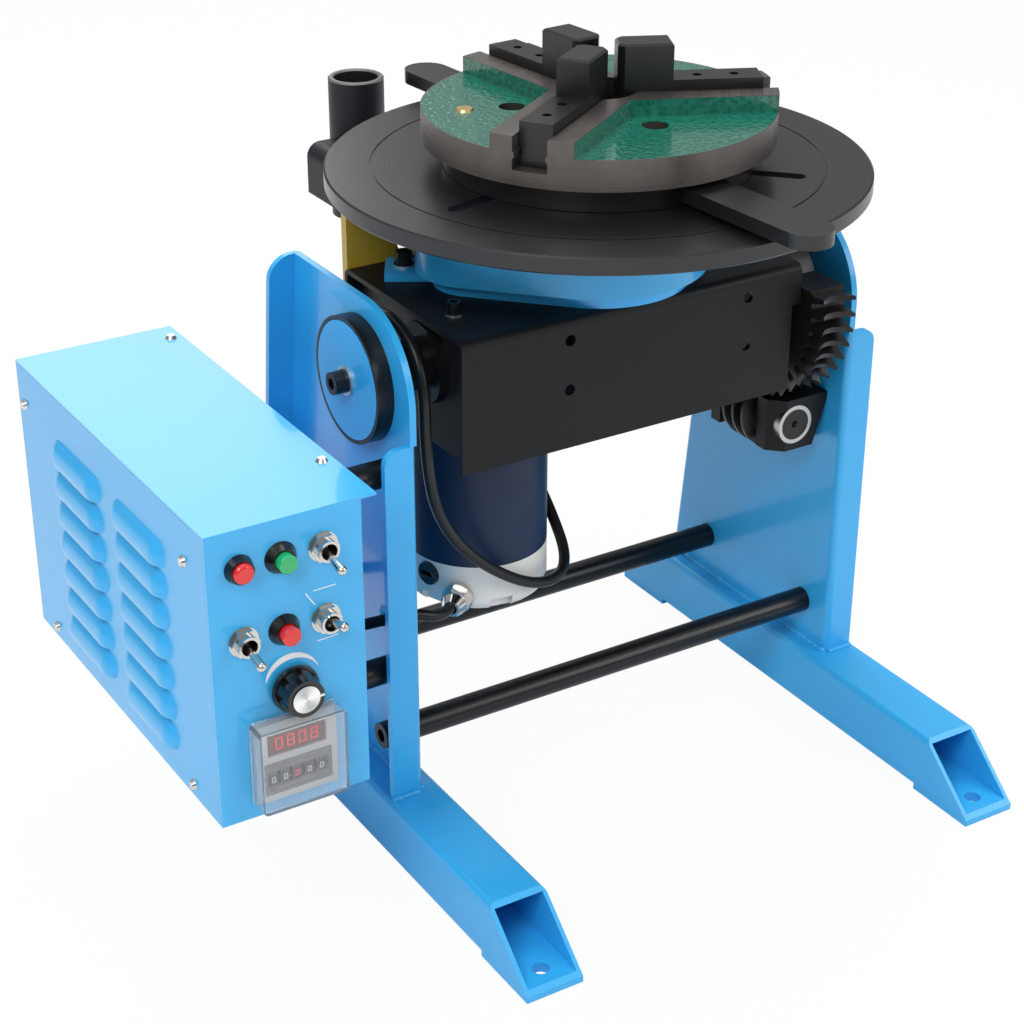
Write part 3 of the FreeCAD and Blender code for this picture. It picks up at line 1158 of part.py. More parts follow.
def speed_knob(doc, d, face):
    """Skirted knob with eight finger flutes on its stem; gives back the stem's bush."""
    at = V(-d.knob_x, face, d.knob_z)
    bush = rod(5.5, 2, at, -Y_AXIS).fuse([
        rod(3.9, 16, at + Y_AXIS * 8, -Y_AXIS), rod(10, 10, at + Y_AXIS * 1.5, Y_AXIS)])
    bush = bush.cut(rod(3.05, 30, at + Y_AXIS * 9, -Y_AXIS))
    base = at - Y_AXIS * 2.5
    knob = Part.makeCone(d.knob_radius + 1.5, d.knob_radius + 1, 2, base, -Y_AXIS)
    grip_at = base - Y_AXIS * 2
    grip = Part.makeCone(d.knob_radius, d.knob_radius - 1.5, d.knob_height - 2, grip_at, -Y_AXIS)
    for i in range(8):
        flute = rod(2.6, d.knob_height, grip_at + V(d.knob_radius + 1, 0, 0), -Y_AXIS)
        flute.rotate(base, Y_AXIS, 45 * i)
        grip = grip.cut(flute)
    cap = rod(d.knob_radius - 4, 0.5, base - Y_AXIS * d.knob_height, -Y_AXIS)
    knob = knob.fuse([grip, cap]).cut(rod(5.8, 7, base, -Y_AXIS))
    stem = rod(3, 15, base - Y_AXIS * 7.5, Y_AXIS)
    solid(doc, "speed_knob", knob.fuse(stem))
    return bush


def timer(doc, d, face):
    """Panel timer with its five setting wheels and a clear cover hinged at the bottom."""
    size, at = d.timer_size, V(-d.timer_x, face, d.timer_z)
    flange = Part.makeBox(size + 4, 4, size + 4, at + V(-size / 2 - 2, -4, -size / 2 - 2))
    deep = Part.makeBox(size - 2.4, 60, size - 2.4, at + V(-size / 2 + 1.2, -1, -size / 2 + 1.2))
    shape = flange.fuse(deep)
    window = Part.makeBox(34, 1.2, 13, at + V(-17, -4, 4))
    shape = shape.cut(window)
    wheels = at + V(0, 1.5, -11)
    shape = shape.cut(Part.makeBox(36, 14, 12, wheels + V(-18, -6, -6)))
    solid(doc, "timer_body", shape)
    for i in range(5):
        x = (i - 2) * 7
        wheel = rod(5.6, 5.2, wheels + V(x - 2.6, 1, 0), X_AXIS)
        for k in range(10):
            tooth = rod(0.9, 6, V(-3, 0, 5.7), X_AXIS)
            tooth.rotate(V(), X_AXIS, 36 * k)
            wheel = wheel.cut(tooth.translated(wheels + V(x, 1, 0)))
        solid(doc, f"thumbwheel_{i + 1}", wheel)
    cover, wall = d.cover_size, d.cover_wall
    corner = at + V(-cover / 2, -d.cover_gap - d.cover_depth, -cover / 2)
    outer = Part.makeBox(cover, d.cover_depth, cover, corner)
    outer = outer.makeFillet(3, [e for e in outer.Edges if near(e.Length, d.cover_depth)])
    half = wall / 2
    edge_bar = Part.makeBox(cover, half, half, corner + V(0, d.cover_depth - half, 0))
    hinge = rod(half, cover, corner + V(0, d.cover_depth - half, half), X_AXIS)
    outer = outer.cut(edge_bar.cut(hinge))
    hollow = Part.makeBox(cover - 2 * wall, d.cover_depth, cover - 2 * wall,
                          corner + V(wall, wall, wall))
    solid(doc, "timer_cover", outer.cut(hollow))


# ---------------------------------------------------------------- cables

def cables(doc, d, gland_at, gland_out):
    """Motor lead and the looped lead; both leave through holes in the left plate."""
    plate_y = d.tilt_y - d.low_cable_front
    lead = [gland_at, gland_at + gland_out * 26,
            V(-d.plate_gap + 8, plate_y, d.low_cable_height),
            V(-d.box_inner - 12, plate_y, d.low_cable_height)]
    print("motor_cable")
    solid(doc, "motor_cable", cable(lead, d.cable_radius))
    rear_y, inside = d.tilt_y + d.rear_cable_offset, -d.plate_gap + 15
    loop = [V(-d.box_inner - 12, rear_y, d.rear_cable_height),
            V(-d.plate_gap + 9, rear_y, d.rear_cable_height),
            V(inside + 1, 70, 178), V(inside, 76, 240), V(inside, 68, 304),
            V(inside + 1, 27, 320), V(inside, -12, 302), V(inside - 1, -14, 240),
            V(-122, -6, 196), V(-92, -2, 160), V(-52, -1, 134), V(-22, 12, 134),
            V(-17, 44, 160), V(-20, 78, 192), V(-34, 90, 225), V(-40, 94, 250)]
    print("loop_cable")
    solid(doc, "loop_cable", cable(loop, d.cable_radius))


# ---------------------------------------------------------------- whole machine

NODES = [
    "foot_left", "foot_right", "frame_left", "frame_right", "tie_rods", "box_bars",
    "bearing_ring", "worm_blocks", "worm_bushes", "box_body", "box_lid", "box_side",
    "box_screws", "lamp_lens", "panel_nuts", "timer_body",
    "motor_cable", "loop_cable",
    "channel", "channel_inner", "journals", "pivot_disc", "pivot_bolt", "worm_wheel",
    "gear_case", "case_lid", "tilt_screws", "spindle_bearings",
    "motor_gearhead", "motor_case", "motor_cap", "brush_plugs", "motor_gland",
    "torch_plate", "torch_arm", "torch_tube",
    "table", "spindle", "ring_gear", "chuck_body", "chuck_plug", "scroll_ring",
    "jaw_1", "jaw_2", "jaw_3", "pinion", "worm_shaft", "handwheel",
    "green_button", "red_button", "power_lever", "mode_lever", "direction_lever",
    "speed_knob", "timer_cover",
    "thumbwheel_1", "thumbwheel_2", "thumbwheel_3", "thumbwheel_4", "thumbwheel_5",
]


def build(doc):
    d = doc.dims
    foot(doc, "foot_left", -1)
    foot(doc, "foot_right", 1)
    frame(doc, "frame_left", -1)
    frame(doc, "frame_right", 1)
    cross_rods(doc)
    box_bars(doc)
    left_pivot(doc, d)
    journals(doc, d)
    worm_wheel(doc, d)
    worm_shaft(doc, d)
    worm_blocks(doc, d)
    handwheel(doc, d)
    channel(doc)
    inner = channel_ends(d)
    ear_seats = gear_case(doc, d)
    screws = case_screws(d, ear_seats)
    inner.append(spindle_set(doc, d))
    solid(doc, "channel_inner", Part.makeCompound(inner))
    pinion(doc, d)
    gland_at, gland_out = motor(doc, d)
    screws += torch_holder(doc, d)
    solid(doc, "tilt_screws", Part.makeCompound(screws))
    table(doc)
    chuck_body(doc, d)
    scroll(doc, d)
    for number in (1, 2, 3):
        jaw(doc, d, number)
    control_box(doc, d)
    box_side(doc, d)
    box_screws(doc, d)
    panel_parts(doc, d)
    cables(doc, d, gland_at, gland_out)


def export(doc):
    """Checks every object and writes one STEP file for each node."""
    for obj in doc.Objects:
        if "Invalid" in obj.State or "Error" in obj.State:
            raise RuntimeError(f"{obj.Label}: {obj.State}")
    os.makedirs("parts", exist_ok=True)
    for name in NODES:
        shape = doc.getObject(name).Shape
        if shape.isNull() or not shape.isValid():
            raise RuntimeError(f"{name} has no valid shape")
        if shape.Volume <= 0:
            raise RuntimeError(f"{name} has no volume")
        shape.exportStep(f"parts/{name}.step")


document = FreeCAD.newDocument("positioner")
make_sheet(document)
build(document)
document.recompute()
export(document)
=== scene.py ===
import math
import bmesh
import bpy
from mathutils import Matrix, Quaternion, Vector


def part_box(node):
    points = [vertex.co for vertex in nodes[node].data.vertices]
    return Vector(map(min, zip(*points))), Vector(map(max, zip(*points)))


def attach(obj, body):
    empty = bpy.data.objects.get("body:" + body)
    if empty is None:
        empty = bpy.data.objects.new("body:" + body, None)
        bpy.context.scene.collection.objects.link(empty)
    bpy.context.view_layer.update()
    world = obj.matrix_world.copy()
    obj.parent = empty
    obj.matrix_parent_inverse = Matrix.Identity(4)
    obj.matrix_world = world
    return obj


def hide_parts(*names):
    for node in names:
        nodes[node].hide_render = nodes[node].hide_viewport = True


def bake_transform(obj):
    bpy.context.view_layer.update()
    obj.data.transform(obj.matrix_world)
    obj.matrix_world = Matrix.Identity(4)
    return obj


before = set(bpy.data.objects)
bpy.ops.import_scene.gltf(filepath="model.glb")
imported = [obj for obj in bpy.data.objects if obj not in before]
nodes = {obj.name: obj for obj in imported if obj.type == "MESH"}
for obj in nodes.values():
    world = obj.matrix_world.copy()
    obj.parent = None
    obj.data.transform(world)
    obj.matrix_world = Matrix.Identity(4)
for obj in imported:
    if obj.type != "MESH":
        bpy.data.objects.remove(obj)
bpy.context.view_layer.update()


# Camera. A long lens looks down on the control panel's corner of the stand, from the
# front left.
camera = bpy.data.cameras.new("camera")
camera.lens = 77.99
camera.sensor_width = 36
camera_object = bpy.data.objects.new("camera", camera)
bpy.context.scene.collection.objects.link(camera_object)
heading, dip, roll = 0.55303, -0.47775, 0.0021
sight = Vector((math.sin(heading) * math.cos(dip), math.cos(heading) * math.cos(dip),
                math.sin(dip)))
turn = sight.to_track_quat("-Z", "Y") @ Quaternion((0, 0, 1), roll)
stand_point = Matrix.Translation((-0.6745, -0.9771, 0.7843))
camera_object.matrix_world = stand_point @ turn.to_matrix().to_4x4()
bpy.context.scene.camera = camera_object
bpy.context.scene.view_settings.view_transform = "Standard"


# Stand, gear case and pivot disc: welded steel plate and tube under glossy sky blue
# enamel. Finishes are written with a wrapped socket, so that an expression on values
# adds its Math nodes.
class Field:
    """One value in a finish: each operation on it adds a Math node."""

    def __init__(self, finish, socket):
        self.finish = finish
        self.socket = socket

    def math(self, operation, first, second=0.0):
        return self.finish.node("ShaderNodeMath", {"operation": operation}, {0: first, 1: second})

    def __add__(self, other):
        return self.math("ADD", self, other)

    def __sub__(self, other):
        return self.math("SUBTRACT", self, other)

    def __rsub__(self, other):
        return self.math("SUBTRACT", other, self)

    def __mul__(self, other):
        return self.math("MULTIPLY", self, other)

    def __abs__(self):
        return self.math("ABSOLUTE", self)

    def __gt__(self, edge):
        return self.math("GREATER_THAN", self, edge)

    def __lt__(self, edge):
        return self.math("LESS_THAN", self, edge)

    def root(self):
        return self.math("SQRT", self)

    def sine(self):
        return self.math("SINE", self)

    def between(self, low, high):
        return (self > low) * (self < high)


class Finish:
    """One material: a Principled shader and the nodes that vary it over the surface."""

    def __init__(self, name, **uniform):
        self.material = bpy.data.materials.new(name)
        self.material.use_nodes = True
        self.tree = self.material.node_tree
        self.shader = self.tree.nodes["Principled BSDF"]
        for key, value in uniform.items():
            label = key.replace("_", " ").title().replace("Ior", "IOR")
            self.shader.inputs[label].default_value = value
        self.place = self.node("ShaderNodeTexCoord", {}, {}, "Object")

    def node(self, kind, settings, sockets, output=0):
        made = self.tree.nodes.new(kind)
        for key, value in settings.items():
            setattr(made, key, value)
        for key, value in sockets.items():
            if isinstance(value, Field):
                self.tree.links.new(value.socket, made.inputs[key])
            else:
                made.inputs[key].default_value = value
        return Field(self, made.outputs[output])

    def noise(self, scale, detail=2.0, vector=None, roughness=0.5):
        return self.node("ShaderNodeTexNoise", {}, {
            "Vector": vector or self.place, "Scale": scale, "Detail": detail,
            "Roughness": roughness}, "Fac")

    def axes(self):
        made = self.tree.nodes.new("ShaderNodeSeparateXYZ")
        self.tree.links.new(self.place.socket, made.inputs[0])
        return [Field(self, made.outputs[i]) for i in range(3)]

    def blend(self, factor, first, second):
        sockets = {0: factor, 6: first, 7: second}
        return self.node("ShaderNodeMix", {"data_type": "RGBA"}, sockets, 2)

    def bump(self, height, strength, distance=0.001):
        normal = self.node("ShaderNodeBump", {}, {
            "Height": height, "Strength": strength, "Distance": distance})
        self.feed("Normal", normal)

    def feed(self, name, value):
        self.tree.links.new(value.socket, self.shader.inputs[name])


def tone(colour, factor):
    return tuple(min(1.0, part * factor) for part in colour) + (1.0,)


def enamel(name, colour, roughness, orange_peel=0.1, coat=0.35):
    finish = Finish(name, coat_weight=coat, coat_roughness=0.06, specular_ior_level=0.4)
    cloud = finish.noise(9.0, 4.0)
    scuff = finish.noise(160.0, 5.0, roughness=0.7).between(0.735, 1.0)
    base = finish.blend(cloud, tone(colour, 0.95), tone(colour, 1.05))
    finish.feed("Base Color", finish.blend(scuff * 0.35, base, tone(colour, 0.6)))
    finish.feed("Roughness", cloud * 0.1 + roughness + scuff * 0.15)
    finish.bump(finish.noise(420.0, 3.0), orange_peel, 0.0003)
    return finish.material


def dress(material, *names):
    for name in names:
        mesh = nodes[name].data
        mesh.materials.clear()
        mesh.materials.append(material)


sky_blue = (0.035, 0.43, 0.86)
blue_enamel = enamel("blue_enamel", sky_blue, 0.26)
dress(blue_enamel, "foot_left", "foot_right", "frame_left", "frame_right", "gear_case",
      "pivot_disc", "box_side")


# Control box: a folded sheet steel tray and its separate lid, in the stand's colour but
# a smoother, glossier coat.
box_enamel = enamel("box_enamel", (0.045, 0.43, 0.84), 0.2, 0.05, 0.5)
dress(box_enamel, "box_body", "box_lid")


# Weld beads where each side plate stands on its foot: a row of overlapping puddles,
# painted over with the frame.
def bead(mesh, start, end, radius):
    along = Vector(end) - Vector(start)
    steps = max(2, int(along.length / (radius * 0.9)))
    for i in range(steps + 1):
        centre = Vector(start) + along * (i / steps)
        size = radius * (1 + 0.12 * math.sin(i * 2.3))
        bmesh.ops.create_icosphere(mesh, subdivisions=2, radius=size,
                                   matrix=Matrix.Translation(centre))


def finished(name, mesh, material, body, smooth=True):
    data = bpy.data.meshes.new(name)
    mesh.to_mesh(data)
    mesh.free()
    piece = bpy.data.objects.new(name, data)
    bpy.context.scene.collection.objects.link(piece)
    data.materials.append(material)
    if smooth:
        data.polygons.foreach_set("use_smooth", [True] * len(data.polygons))
    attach(piece, body)
    return piece


weld_height = 0.0403
weld_radius = 0.0022
for side, name in ((-1, "left"), (1, "right")):
    welds = bmesh.new()
    inner, outer, flange = side * 0.150, side * 0.154, side * 0.169
    for start, end in (((inner, -0.026), (inner, 0.139)), ((outer, -0.024), (outer, 0.136)),
                       ((outer, -0.0295), (flange, -0.0295))):
        bead(welds, (*start, weld_height), (*end, weld_height), weld_radius)
    finished(f"frame_weld_{name}", welds, blue_enamel, "base")


# Tilting channel, its inner plates, the gearhead and the worm's blocks: folded and
# milled steel under satin black paint.
def satin_black(name, colour, roughness, shine=0.26):
    finish = Finish(name, specular_ior_level=shine)
    cloud = finish.noise(14.0, 5.0)
    fleck = finish.noise(700.0, 2.0)
    paint = finish.blend(cloud, tone(colour, 0.8), tone(colour, 1.35))
    finish.feed("Base Color", paint)
    finish.feed("Roughness", cloud * 0.14 + roughness)
    finish.bump(fleck + cloud * 0.3, 0.14, 0.0003)
    return finish.material


channel_black = satin_black("channel_black", (0.0055, 0.0058, 0.0068), 0.42)
dress(channel_black, "channel", "channel_inner", "motor_gearhead", "worm_blocks")


# Cross rods, box bars, bearing ring, journals and case lid: drawn and turned steel,
# blackened and a little shinier than the paint. The torch arm is a duller square bar.
bar_black = satin_black("bar_black", (0.0055, 0.0055, 0.0065), 0.22, 0.4)
dress(bar_black, "tie_rods", "box_bars", "bearing_ring", "journals", "case_lid")
socket_black = satin_black("socket_black", (0.011, 0.0115, 0.0145), 0.4, 0.3)
dress(socket_black, "torch_arm")


# Torch socket: a short black tube, worn to bare steel on the chamfered rim of its mouth.
# Weld puddles run round its front at the height of its arm's top.
tube_low, tube_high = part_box("torch_tube")
rim_height = 0.0011
socket = Finish("torch_socket", specular_ior_level=0.3)
x, y, z = socket.axes()
worn = z > tube_high[2] - rim_height
cloud = socket.noise(14.0, 5.0)
oxide = socket.blend(cloud, (0.009, 0.009, 0.012, 1), (0.015, 0.0155, 0.019, 1))
socket.feed("Base Color", socket.blend(worn, oxide, (0.24, 0.235, 0.23, 1)))
socket.feed("Metallic", worn * 0.9)
socket.feed("Roughness", cloud * 0.12 + 0.36 - worn * 0.1)
socket.bump(socket.noise(700.0, 2.0), 0.12, 0.0003)
dress(socket.material, "torch_tube")

arm_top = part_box("torch_arm")[1][2]
weld_half_width = 0.0145
tube_x = (tube_low[0] + tube_high[0]) / 2
tube_y = (tube_low[1] + tube_high[1]) / 2
tube_radius = (tube_high[0] - tube_low[0]) / 2
puddles = 44
ring = bmesh.new()
for i in range(puddles):
    angle = math.pi * (1 + i / (puddles - 1))
    reach = Vector((math.cos(angle), math.sin(angle), 0)) * tube_radius
    if abs(reach.x) < weld_half_width:
        place = Matrix.Translation(Vector((tube_x, tube_y, arm_top)) + reach)
        size = 0.0021 + 0.0002 * math.sin(i * 2.1)
        bmesh.ops.create_icosphere(ring, subdivisions=2, radius=size, matrix=place)
finished("socket_weld", ring, socket_black, "tilt")


# Screws: black heads on bright zinc washers. A washer is told from its head by its
# wider radius on the pivot bolt and by its height on the others.
screws = Finish("screws_and_washers", specular_ior_level=0.45)
x, y, z = screws.axes()
disc_low, disc_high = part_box("pivot_disc")
pivot_y = (disc_low[1] + disc_high[1]) / 2
pivot_z = (disc_low[2] + disc_high[2]) / 2
off_axis = ((y - pivot_y) * (y - pivot_y) + (z - pivot_z) * (z - pivot_z)).root()
pivot_washer = (x < -0.140) * off_axis.between(0.0067, 0.009)
ear_washers = z.between(0.3209, 0.3223) * (y > 0.05)
channel_washer = z.between(0.3159, 0.3172) * (y < 0.05)
zinc = pivot_washer + ear_washers + channel_washer > 0.5
grain = screws.noise(900.0, 3.0)
head_black = (0.006, 0.006, 0.007, 1)
zinc_grey = (0.66, 0.66, 0.65, 1)
screws.feed("Base Color", screws.blend(zinc, head_black, zinc_grey))
screws.feed("Metallic", zinc * 0.9)
screws.feed("Roughness", grain * 0.1 + 0.24)
screws.bump(grain, 0.06, 0.0002)
dress(screws.material, "tilt_screws", "pivot_bolt")


# Turned table, scroll ring and jaws: machined steel, blackened over fine concentric tool
# marks that run round the spindle.
chuck_low, chuck_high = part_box("chuck_body")
spindle_y = (chuck_low[1] + chuck_high[1]) / 2


def turned_black(name, colour, rings):
    finish = Finish(name, specular_ior_level=0.6)
    x, y, z = finish.axes()
    across = y - spindle_y
    radius = (x * x + across * across).root()
    band = finish.node("ShaderNodeCombineXYZ", {}, {0: radius * rings, 1: z * 3.0})
    mark = finish.noise(1.0, 6.0, vector=band, roughness=0.7)
    cloud = finish.noise(11.0, 4.0)
    shade = mark * 0.7 + cloud * 0.3
    finish.feed("Base Color", finish.blend(shade, tone(colour, 0.6), tone(colour, 1.7)))
    finish.feed("Roughness", mark * 0.16 + cloud * 0.08 + 0.18)
    finish.bump(mark, 0.25, 0.0002)
    return finish.material


table_black = turned_black("table_black", (0.0095, 0.0088, 0.0108), 420.0)
dress(table_black, "table", "scroll_ring")
dress(turned_black("jaw_black", (0.0065, 0.0065, 0.0078), 90.0), "jaw_1", "jaw_2", "jaw_3")


# Chuck body: cast iron turned bright on its rim and ways, with green hammertone in the
# sunk sectors between the ways.
chuck = Finish("chuck_casting", coat_roughness=0.1)
x, y, z = chuck.axes()
across = y - spindle_y
radius = (x * x + across * across).root()
way_half = 0.0103
sector_low, sector_high = 0.41665, 0.4257
sector_inner, sector_outer = 0.0225, 0.0993
inside_slot = None
for bearing in (95, 215, 335):
    angle = math.radians(bearing)
    along = x * math.cos(angle) + across * math.sin(angle)
    aside = abs(across * math.cos(angle) - x * math.sin(angle))
    this = (along > 0.0) * (aside < way_half)
    inside_slot = this if inside_slot is None else inside_slot + this
green = z.between(sector_low, sector_high) * (radius < sector_outer)
green = green * (inside_slot < 0.5) * (radius > sector_inner)
blotch = chuck.node("ShaderNodeTexVoronoi", {"feature": "SMOOTH_F1"},
                    {"Vector": chuck.place, "Scale": 330.0, "Smoothness": 0.7}, "Distance")
hammer = chuck.blend(blotch, (0.003, 0.085, 0.056, 1), (0.012, 0.2, 0.135, 1))
turning = chuck.node("ShaderNodeCombineXYZ", {}, {0: radius * 900.0, 1: z * 900.0})
tool = chuck.noise(1.0, 3.0, vector=turning)
stain = chuck.noise(26.0, 6.0, roughness=0.65)
shade = stain * 0.7 + tool * 0.3
iron = chuck.blend(shade, (0.03, 0.025, 0.022, 1), (0.26, 0.24, 0.225, 1))
chuck.feed("Base Color", chuck.blend(green, iron, hammer))
chuck.feed("Metallic", 0.75 - green * 0.75)
rough_iron = tool * 0.14 + stain * 0.16 + 0.2
chuck.feed("Roughness", rough_iron * (1 - green) + green * 0.16)
chuck.feed("Coat Weight", green * 0.7)
chuck.bump(blotch * green + tool * (1 - green) * 0.15, 0.8, 0.0007)
dress(chuck.material, "chuck_body")


# Shafts, gears, bearings and bushes: machined steel, darker on the worm and its wheel.
# Box screws, toggle levers and the cable gland are nickel plated, and the chuck's plug
# is brass.
def plain_steel(name, colour, roughness, metallic=1.0, grain=260.0):
    finish = Finish(name, metallic=metallic)
    line = finish.noise(grain, 4.0, roughness=0.6)
    cloud = finish.noise(30.0, 3.0)
    finish.feed("Base Color", finish.blend(cloud, tone(colour, 0.85), tone(colour, 1.1)))
    finish.feed("Roughness", line * 0.15 + roughness)
    finish.bump(line, 0.08, 0.0002)
    return finish.material


steel = plain_steel("machined_steel", (0.5, 0.49, 0.48), 0.25)
dress(steel, "worm_bushes", "spindle_bearings", "spindle", "ring_gear", "pinion")
nickel = plain_steel("nickel_plate", (0.64, 0.625, 0.6), 0.1, grain=900.0)
dress(nickel, "box_screws", "motor_gland", "power_lever", "mode_lever", "direction_lever")
dress(plain_steel("brass_button", (0.75, 0.55, 0.24), 0.25), "chuck_plug")
worm_black = plain_steel("worm_steel", (0.022, 0.021, 0.022), 0.26, 0.5)
dress(worm_black, "worm_wheel", "worm_shaft")


# Panel hardware: the toggles' nuts and bushings are nickel plated, but the lamp's and the
# two buttons' bezels are moulded in black.
hardware = Finish("panel_hardware")
x, y, z = hardware.axes()
moulded = None
bezel_reach = 0.0095
for name in ("lamp_lens", "green_button", "red_button"):
    low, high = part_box(name)
    centre_x = (low[0] + high[0]) / 2
    centre_z = (low[2] + high[2]) / 2
    away = ((x - centre_x) * (x - centre_x) + (z - centre_z) * (z - centre_z)).root()
    this = away < bezel_reach
    moulded = this if moulded is None else moulded + this
grain = hardware.noise(800.0, 3.0)
plated = (0.6, 0.585, 0.56, 1)
bezel_black = (0.005, 0.005, 0.0055, 1)
hardware.feed("Base Color", hardware.blend(moulded, plated, bezel_black))
hardware.feed("Metallic", 1 - moulded)
hardware.feed("Roughness", grain * 0.1 + 0.1 + moulded * 0.08)
hardware.bump(grain, 0.08, 0.0002)
dress(hardware.material, "panel_nuts")


# Button caps, lens, knob, timer, setting wheels, handwheel and brush plugs: moulded
# plastic, as is the motor's cream end cap. The motor's navy case and the yellow torch
# bracket are metal under enamel.
def moulded_plastic(name, colour, roughness, coat=0.2):
    finish = Finish(name, coat_weight=coat, coat_roughness=0.12)
    cloud = finish.noise(60.0, 3.0)
    grain = finish.noise(1400.0, 2.0)
    finish.feed("Base Color", finish.blend(cloud, tone(colour, 0.9), tone(colour, 1.08)))
    finish.feed("Roughness", grain * 0.08 + roughness)
    finish.bump(grain, 0.06, 0.0002)
    return finish.material


red_plastic = moulded_plastic("red_cap_plastic", (0.72, 0.015, 0.012), 0.22, 0.6)
dress(red_plastic, "lamp_lens", "red_button")
dress(moulded_plastic("green_cap_plastic", (0.01, 0.42, 0.13), 0.22, 0.6), "green_button")
black_plastic = moulded_plastic("black_plastic", (0.005, 0.005, 0.0055), 0.16)
dress(black_plastic, "speed_knob", "handwheel", "brush_plugs")
dress(moulded_plastic("wheel_grey", (0.085, 0.087, 0.095), 0.35), "thumbwheel_1", "thumbwheel_2",
      "thumbwheel_3", "thumbwheel_4", "thumbwheel_5")
dress(moulded_plastic("timer_case", (0.56, 0.57, 0.58), 0.35), "timer_body")
dress(moulded_plastic("motor_cap_cream", (0.8, 0.8, 0.77), 0.38), "motor_cap")
dress(enamel("motor_navy", (0.0045, 0.017, 0.058), 0.42, 0.12, 0.0), "motor_case")
dress(enamel("bracket_yellow", (0.6, 0.39, 0.035), 0.4, 0.3), "torch_plate")


# Motor's end cap: two small brass screws in the notches of its lower edge, which hold
# the cap to the case.
cap_low, cap_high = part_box("motor_cap")
cap_centre = Vector(((cap_low[0] + cap_high[0]) / 2, (cap_low[1] + cap_high[1]) / 2, cap_low[2]))
screw_circle = 0.0345
sunk = Vector((0, 0, 0.0006))
brass = plain_steel("brass_screw", (0.6, 0.42, 0.16), 0.25)
for i, bearing in enumerate((285, 105)):
    angle = math.radians(bearing)
    out = Vector((math.cos(angle), math.sin(angle), 0)) * screw_circle
    head = bmesh.new()
    bmesh.ops.create_cone(head, cap_ends=True, segments=24, radius1=0.0024, radius2=0.0027,
                          depth=0.0016, matrix=Matrix.Translation(cap_centre + out + sunk))
    finished(f"cap_screw_{i + 1}", head, brass, "tilt", smooth=False)


# Timer cover: a thin clear moulding over the timer, a little milky and with fine
# scratches.
clear = Finish("clear_cover", transmission_weight=0.93, ior=1.4)
scratch = clear.noise(240.0, 5.0)
clear.feed("Base Color", clear.blend(scratch, (0.93, 0.96, 0.98, 1), (1, 1, 1, 1)))
clear.feed("Roughness", scratch * 0.06 + 0.01)
dress(clear.material, "timer_cover")


# Knob: a spun aluminium disc set in its face, with a pointer line on the rim beside it.
# The disc's bright bow-tie sectors are painted highlights in its colour, turning round its centre as
# spun metal's reflections do.
def block(mesh, low, high):
    centre = Matrix.Translation((Vector(low) + Vector(high)) / 2)
    size = Matrix.Diagonal((*(Vector(high) - Vector(low)), 1))
    bmesh.ops.create_cube(mesh, size=1, matrix=centre @ size)


knob_low, knob_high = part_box("speed_knob")
knob_x = (knob_low[0] + knob_high[0]) / 2
knob_face = knob_low[1]
knob_z = (knob_low[2] + knob_high[2]) / 2
disc_radius, disc_thick = 0.0077, 0.0003
spun = Finish("spun_aluminium", metallic=1.0)
x, y, z = spun.axes()
bearing = z.math("ARCTAN2", z - knob_z, x - knob_x)
# Painted highlight: the base colour brightens in two opposite sectors round the disc's centre.
painted_highlight = (bearing * 2 + 0.9).sine() * 0.5 + 0.5
from_centre = ((x - knob_x) * (x - knob_x) + (z - knob_z) * (z - knob_z)).root()
band = spun.node("ShaderNodeCombineXYZ", {}, {0: from_centre * 5200.0})
rings = spun.noise(1.0, 3.0, vector=band)
spun.feed("Base Color", spun.blend(painted_highlight, (0.5, 0.5, 0.5, 1), (0.93, 0.93, 0.92, 1)))
spun.feed("Roughness", rings * 0.15 + 0.22)
spun.bump(rings, 0.1, 0.0001)
disc = bmesh.new()
facing = Matrix.Translation((knob_x, knob_face + 0.0001, knob_z)) @ Matrix.Rotation(math.pi / 2, 4, "X")
bmesh.ops.create_cone(disc, cap_ends=True, segments=64, radius1=disc_radius, radius2=disc_radius,
                      depth=disc_thick, matrix=facing)
finished("knob_disc", disc, spun.material, "knob", smooth=False)
white_paint = moulded_plastic("white_paint", (0.86, 0.87, 0.87), 0.45, 0.0)
pointer = bmesh.new()
pointer_start, pointer_end, pointer_half = 0.0064, 0.0101, 0.0005
block(pointer, (knob_x + pointer_start, knob_face - 0.00012, knob_z - pointer_half),
      (knob_x + pointer_end, knob_face + 0.0007, knob_z + pointer_half))
finished("knob_pointer", pointer, white_paint, "knob", smooth=False)


# Printing on the panel: a crescent that swells round the knob as its scale, and three
# lines by the direction toggle. The white ink stands 0.05 mm proud of the sheet.
timer_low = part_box("timer_body")[0]
flange_thick = 0.004
panel_y = timer_low[1] + flange_thick
ink_y = panel_y - 0.00005
ink = bmesh.new()
steps = 40
scale_radius, scale_swell = 0.0166, 0.0033
scale_start, scale_sweep = 157, 129
crescent = []
for i in range(steps + 1):
    share = i / steps
    angle = math.radians(scale_start - scale_sweep * share)
    swell = 0.0002 + scale_swell * math.sin(math.pi * share ** 0.8) ** 1.2
    row = []
    for radius in (scale_radius, scale_radius + swell):
        place = (knob_x + radius * math.cos(angle), ink_y, knob_z + radius * math.sin(angle))
        row.append(ink.verts.new(place))
    crescent.append(row)
for before, after in zip(crescent, crescent[1:]):
    ink.faces.new((before[0], after[0], after[1], before[1]))
line_half = 0.00028
for start, end in (((-0.2447, 0.2308), (-0.2318, 0.2311)), ((-0.2493, 0.2306), (-0.2441, 0.2224)),
                   ((-0.2437, 0.2010), (-0.2314, 0.2014))):
    along = (Vector(end) - Vector(start)).normalized() * line_half
    corners = []
    for at, side in ((start, 1), (end, 1), (end, -1), (start, -1)):
        corners.append(ink.verts.new((at[0] - along.y * side, ink_y, at[1] + along.x * side)))
    ink.faces.new(corners)
bmesh.ops.recalc_face_normals(ink, faces=ink.faces)
for face in ink.faces:
    if face.normal.y > 0:
        face.normal_flip()
finished("panel_print", ink, white_paint, "base", smooth=False)


